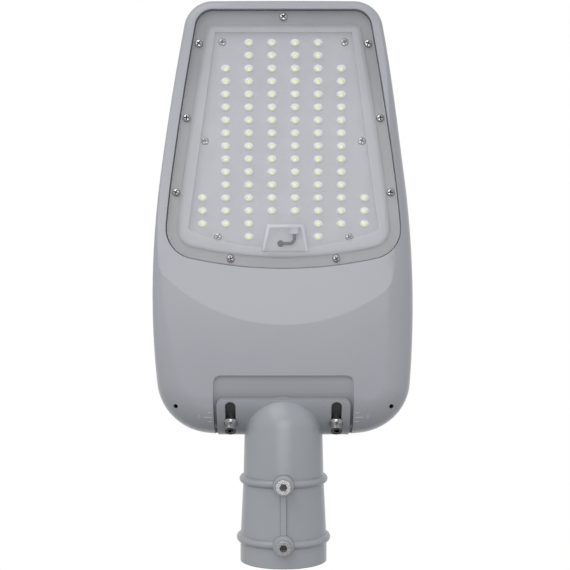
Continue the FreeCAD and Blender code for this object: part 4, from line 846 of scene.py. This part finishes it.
class LIGHTHEAD_OT_scale(bpy.types.Operator):
    """The scale beside the bracket: raised marks and plain numbers on the hull"""

    bl_idname = "lighthead.scale"
    bl_label = "Tilt scale"

    def execute(self, context):
        size = sizes()
        hull = merged_copy("housing")
        self.tree = BVHTree.FromBMesh(hull)
        bm = bmesh.new()
        first_y = TILT_AXIS.y - 27.6 * MM
        for side in (-1, 1):
            for number, length in enumerate((0.5, 1.0, 0.5)):
                y = first_y - size.tick_step * number
                self.add_tick(bm, side, y, size.tick_long * length)
        self.add_digits(bm, "0", -72.0 * MM, first_y - size.tick_step)
        self.add_digits(bm, "0", 72.0 * MM, first_y - size.tick_step)
        self.lay_on_hull(bm)
        hull.free()
        tone = as_tuple(colours().paint)
        finish = material(paint_material, "scale_marks", shade(tone, 1.9))
        new_piece("tilt_scale", bm, [finish], "housing", replace=False)
        return {"FINISHED"}

    def add_tick(self, bm, side, y, length):
        """One mark, starting just beside the pocket."""
        made = bmesh.ops.create_cube(bm, size=1.0)["verts"]
        start = 61.0 * MM
        bmesh.ops.scale(bm, verts=made, vec=(length, 0.7 * MM, 0.35 * MM))
        bmesh.ops.translate(bm, verts=made, vec=(side * (start + length / 2), y, 0))

    def add_digits(self, bm, text, x, y):
        """A number that reads from below, as a thin solid."""
        curve = bpy.data.curves.new("digits", "FONT")
        curve.body = text
        curve.size = 4.6 * MM
        curve.extrude = 0.17 * MM
        curve.align_x = "CENTER"
        curve.align_y = "CENTER"
        item = bpy.data.objects.new("digits", curve)
        bpy.context.scene.collection.objects.link(item)
        graph = bpy.context.evaluated_depsgraph_get()
        graph.update()
        mesh = bpy.data.meshes.new_from_object(item.evaluated_get(graph))
        first = len(bm.verts)
        bm.from_mesh(mesh)
        bm.verts.ensure_lookup_table()
        place = Matrix.Translation((x, y, 0)) @ Matrix.Rotation(pi, 4, "Y")
        bmesh.ops.transform(bm, matrix=place, verts=bm.verts[first:])
        bpy.data.meshes.remove(mesh)
        bpy.data.objects.remove(item)
        bpy.data.curves.remove(curve)

    def lay_on_hull(self, bm):
        """Move every vertex down or up so that the marks follow the hull."""
        for vertex in bm.verts:
            start = Vector((vertex.co.x, vertex.co.y, RIM_Z - 0.05))
            hit = self.tree.ray_cast(start, Vector((0, 0, 1)))[0]
            if hit is not None:
                vertex.co.z += hit.z


class LIGHTHEAD_OT_studio(bpy.types.Operator):
    """Pale floor, soft light and the camera below the head"""

    bl_idname = "lighthead.studio"
    bl_label = "Studio"

    def execute(self, context):
        self.make_floor()
        self.make_world(context.scene)
        self.make_lights()
        self.make_camera(context.scene)
        context.scene.view_settings.view_transform = "Standard"
        return {"FINISHED"}

    def make_floor(self):
        bm = bmesh.new()
        bmesh.ops.create_grid(bm, x_segments=1, y_segments=1, size=60.0)
        bmesh.ops.translate(bm, verts=bm.verts, vec=(0, 0, -1.8))
        mesh = bpy.data.meshes.new("studio_floor")
        bm.to_mesh(mesh)
        bm.free()
        floor = bpy.data.objects.new("studio_floor", mesh)
        bpy.context.scene.collection.objects.link(floor)
        graph = Graph(bpy.data.materials.new("pale_floor"))
        mesh.materials.append(graph.finish(Base_Color=(0.8, 0.8, 0.8), Roughness=0.8))
        floor.visible_diffuse = False
        floor.visible_glossy = False
        floor.visible_shadow = False

    def make_world(self, scene):
        """White behind the head, and soft light from below that comes mostly from the front."""
        scene.world = bpy.data.worlds.new("studio")
        graph = Graph(scene.world)
        way = graph.add("ShaderNodeTexCoord", output=0)
        aim = graph.add("ShaderNodeVectorMath", {"operation": "DOT_PRODUCT"}, {0: way, 1: (0, 0.8, -0.6)}, 1)
        side = graph.add("ShaderNodeVectorMath", {"operation": "DOT_PRODUCT"}, {0: way, 1: (1, 0, 0)}, 1)
        back = graph.add("ShaderNodeVectorMath", {"operation": "DOT_PRODUCT"}, {0: way, 1: (0, 0, 1)}, 1)
        below = graph.spread(aim, 0.04, 0.46, -0.5, 1.0) + side.math("ABSOLUTE", side) * 0.72
        behind = graph.spread(back, 0.0, 1.0, 0.6, 0.8)
        tone = graph.mix(behind, graph.mix(below, (0, 0, 0), (1, 1, 1)), (1, 1, 1))
        glow = graph.add("ShaderNodeBackground", sockets={"Color": tone, "Strength": 1.0})
        graph.add("ShaderNodeOutputWorld", sockets={"Surface": glow})

    def make_lights(self):
        """A softbox behind the camera, a key light from the tip's side and a strip at the bracket's."""
        for name, place, wide, long, energy in (
            ("softbox", (0.03, 0.3, -1.6), 0.95, 0.74, 7.9),
            ("key", (0.45, 1.35, -1.0), 1.3, 1.3, 11.6),
            ("strip", (0.15, -0.95, -1.0), 0.5, 0.12, 0.8),
        ):
            light = bpy.data.lights.new(name, "AREA")
            light.shape = "RECTANGLE"
            light.size = wide
            light.size_y = long
            light.energy = energy
            lamp = bpy.data.objects.new(name, light)
            lamp.location = place
            aim = Vector((place[0], place[1], 0) if name == "softbox" else (0, 0.2, 0)) - Vector(place)
            lamp.rotation_euler = aim.to_track_quat("-Z", "Y").to_euler()
            bpy.context.scene.collection.objects.link(lamp)

    def make_camera(self, scene):
        camera = bpy.data.cameras.new("photo_camera")
        camera.sensor_width = SENSOR_MM
        camera.lens = 1150.0 * SENSOR_MM / PHOTO_SIDE
        camera.clip_start = 0.01
        eye = bpy.data.objects.new("photo_camera", camera)
        eye.location = (-0.0013, TIP_Y - 0.2396, -0.995)
        eye.rotation_euler = (0, pi, 0)
        scene.collection.objects.link(eye)
        scene.camera = eye


OPERATORS = (
    LIGHTHEAD_OT_castings,
    LIGHTHEAD_OT_lens_panel,
    LIGHTHEAD_OT_board,
    LIGHTHEAD_OT_bay,
    LIGHTHEAD_OT_fasteners,
    LIGHTHEAD_OT_scale,
    LIGHTHEAD_OT_studio,
)


class LIGHTHEAD_PT_sidebar(bpy.types.Panel):
    """The pieces of the head, one button each"""

    bl_idname = "LIGHTHEAD_PT_sidebar"
    bl_label = "Street Light"
    bl_space_type = "VIEW_3D"
    bl_region_type = "UI"
    bl_category = "Street Light"

    def draw(self, context):
        for operator in OPERATORS:
            self.layout.operator(operator.bl_idname)
        for group in (context.scene.head_sizes, context.scene.head_colours):
            for name in group.__annotations__:
                self.layout.prop(group, name)


CLASSES = (HeadSizes, HeadColours, *OPERATORS, LIGHTHEAD_PT_sidebar)


def register():
    for cls in CLASSES:
        bpy.utils.register_class(cls)
    bpy.types.Scene.head_sizes = bpy.props.PointerProperty(type=HeadSizes)
    bpy.types.Scene.head_colours = bpy.props.PointerProperty(type=HeadColours)


def unregister():
    del bpy.types.Scene.head_sizes
    del bpy.types.Scene.head_colours
    for cls in reversed(CLASSES):
        bpy.utils.unregister_class(cls)


def main():
    register()
    bpy.ops.lighthead.castings()
    bpy.ops.lighthead.lens_panel()
    bpy.ops.lighthead.board()
    bpy.ops.lighthead.bay()
    bpy.ops.lighthead.fasteners()
    bpy.ops.lighthead.scale()
    bpy.ops.lighthead.studio()


if __name__ == "__main__":
    main()
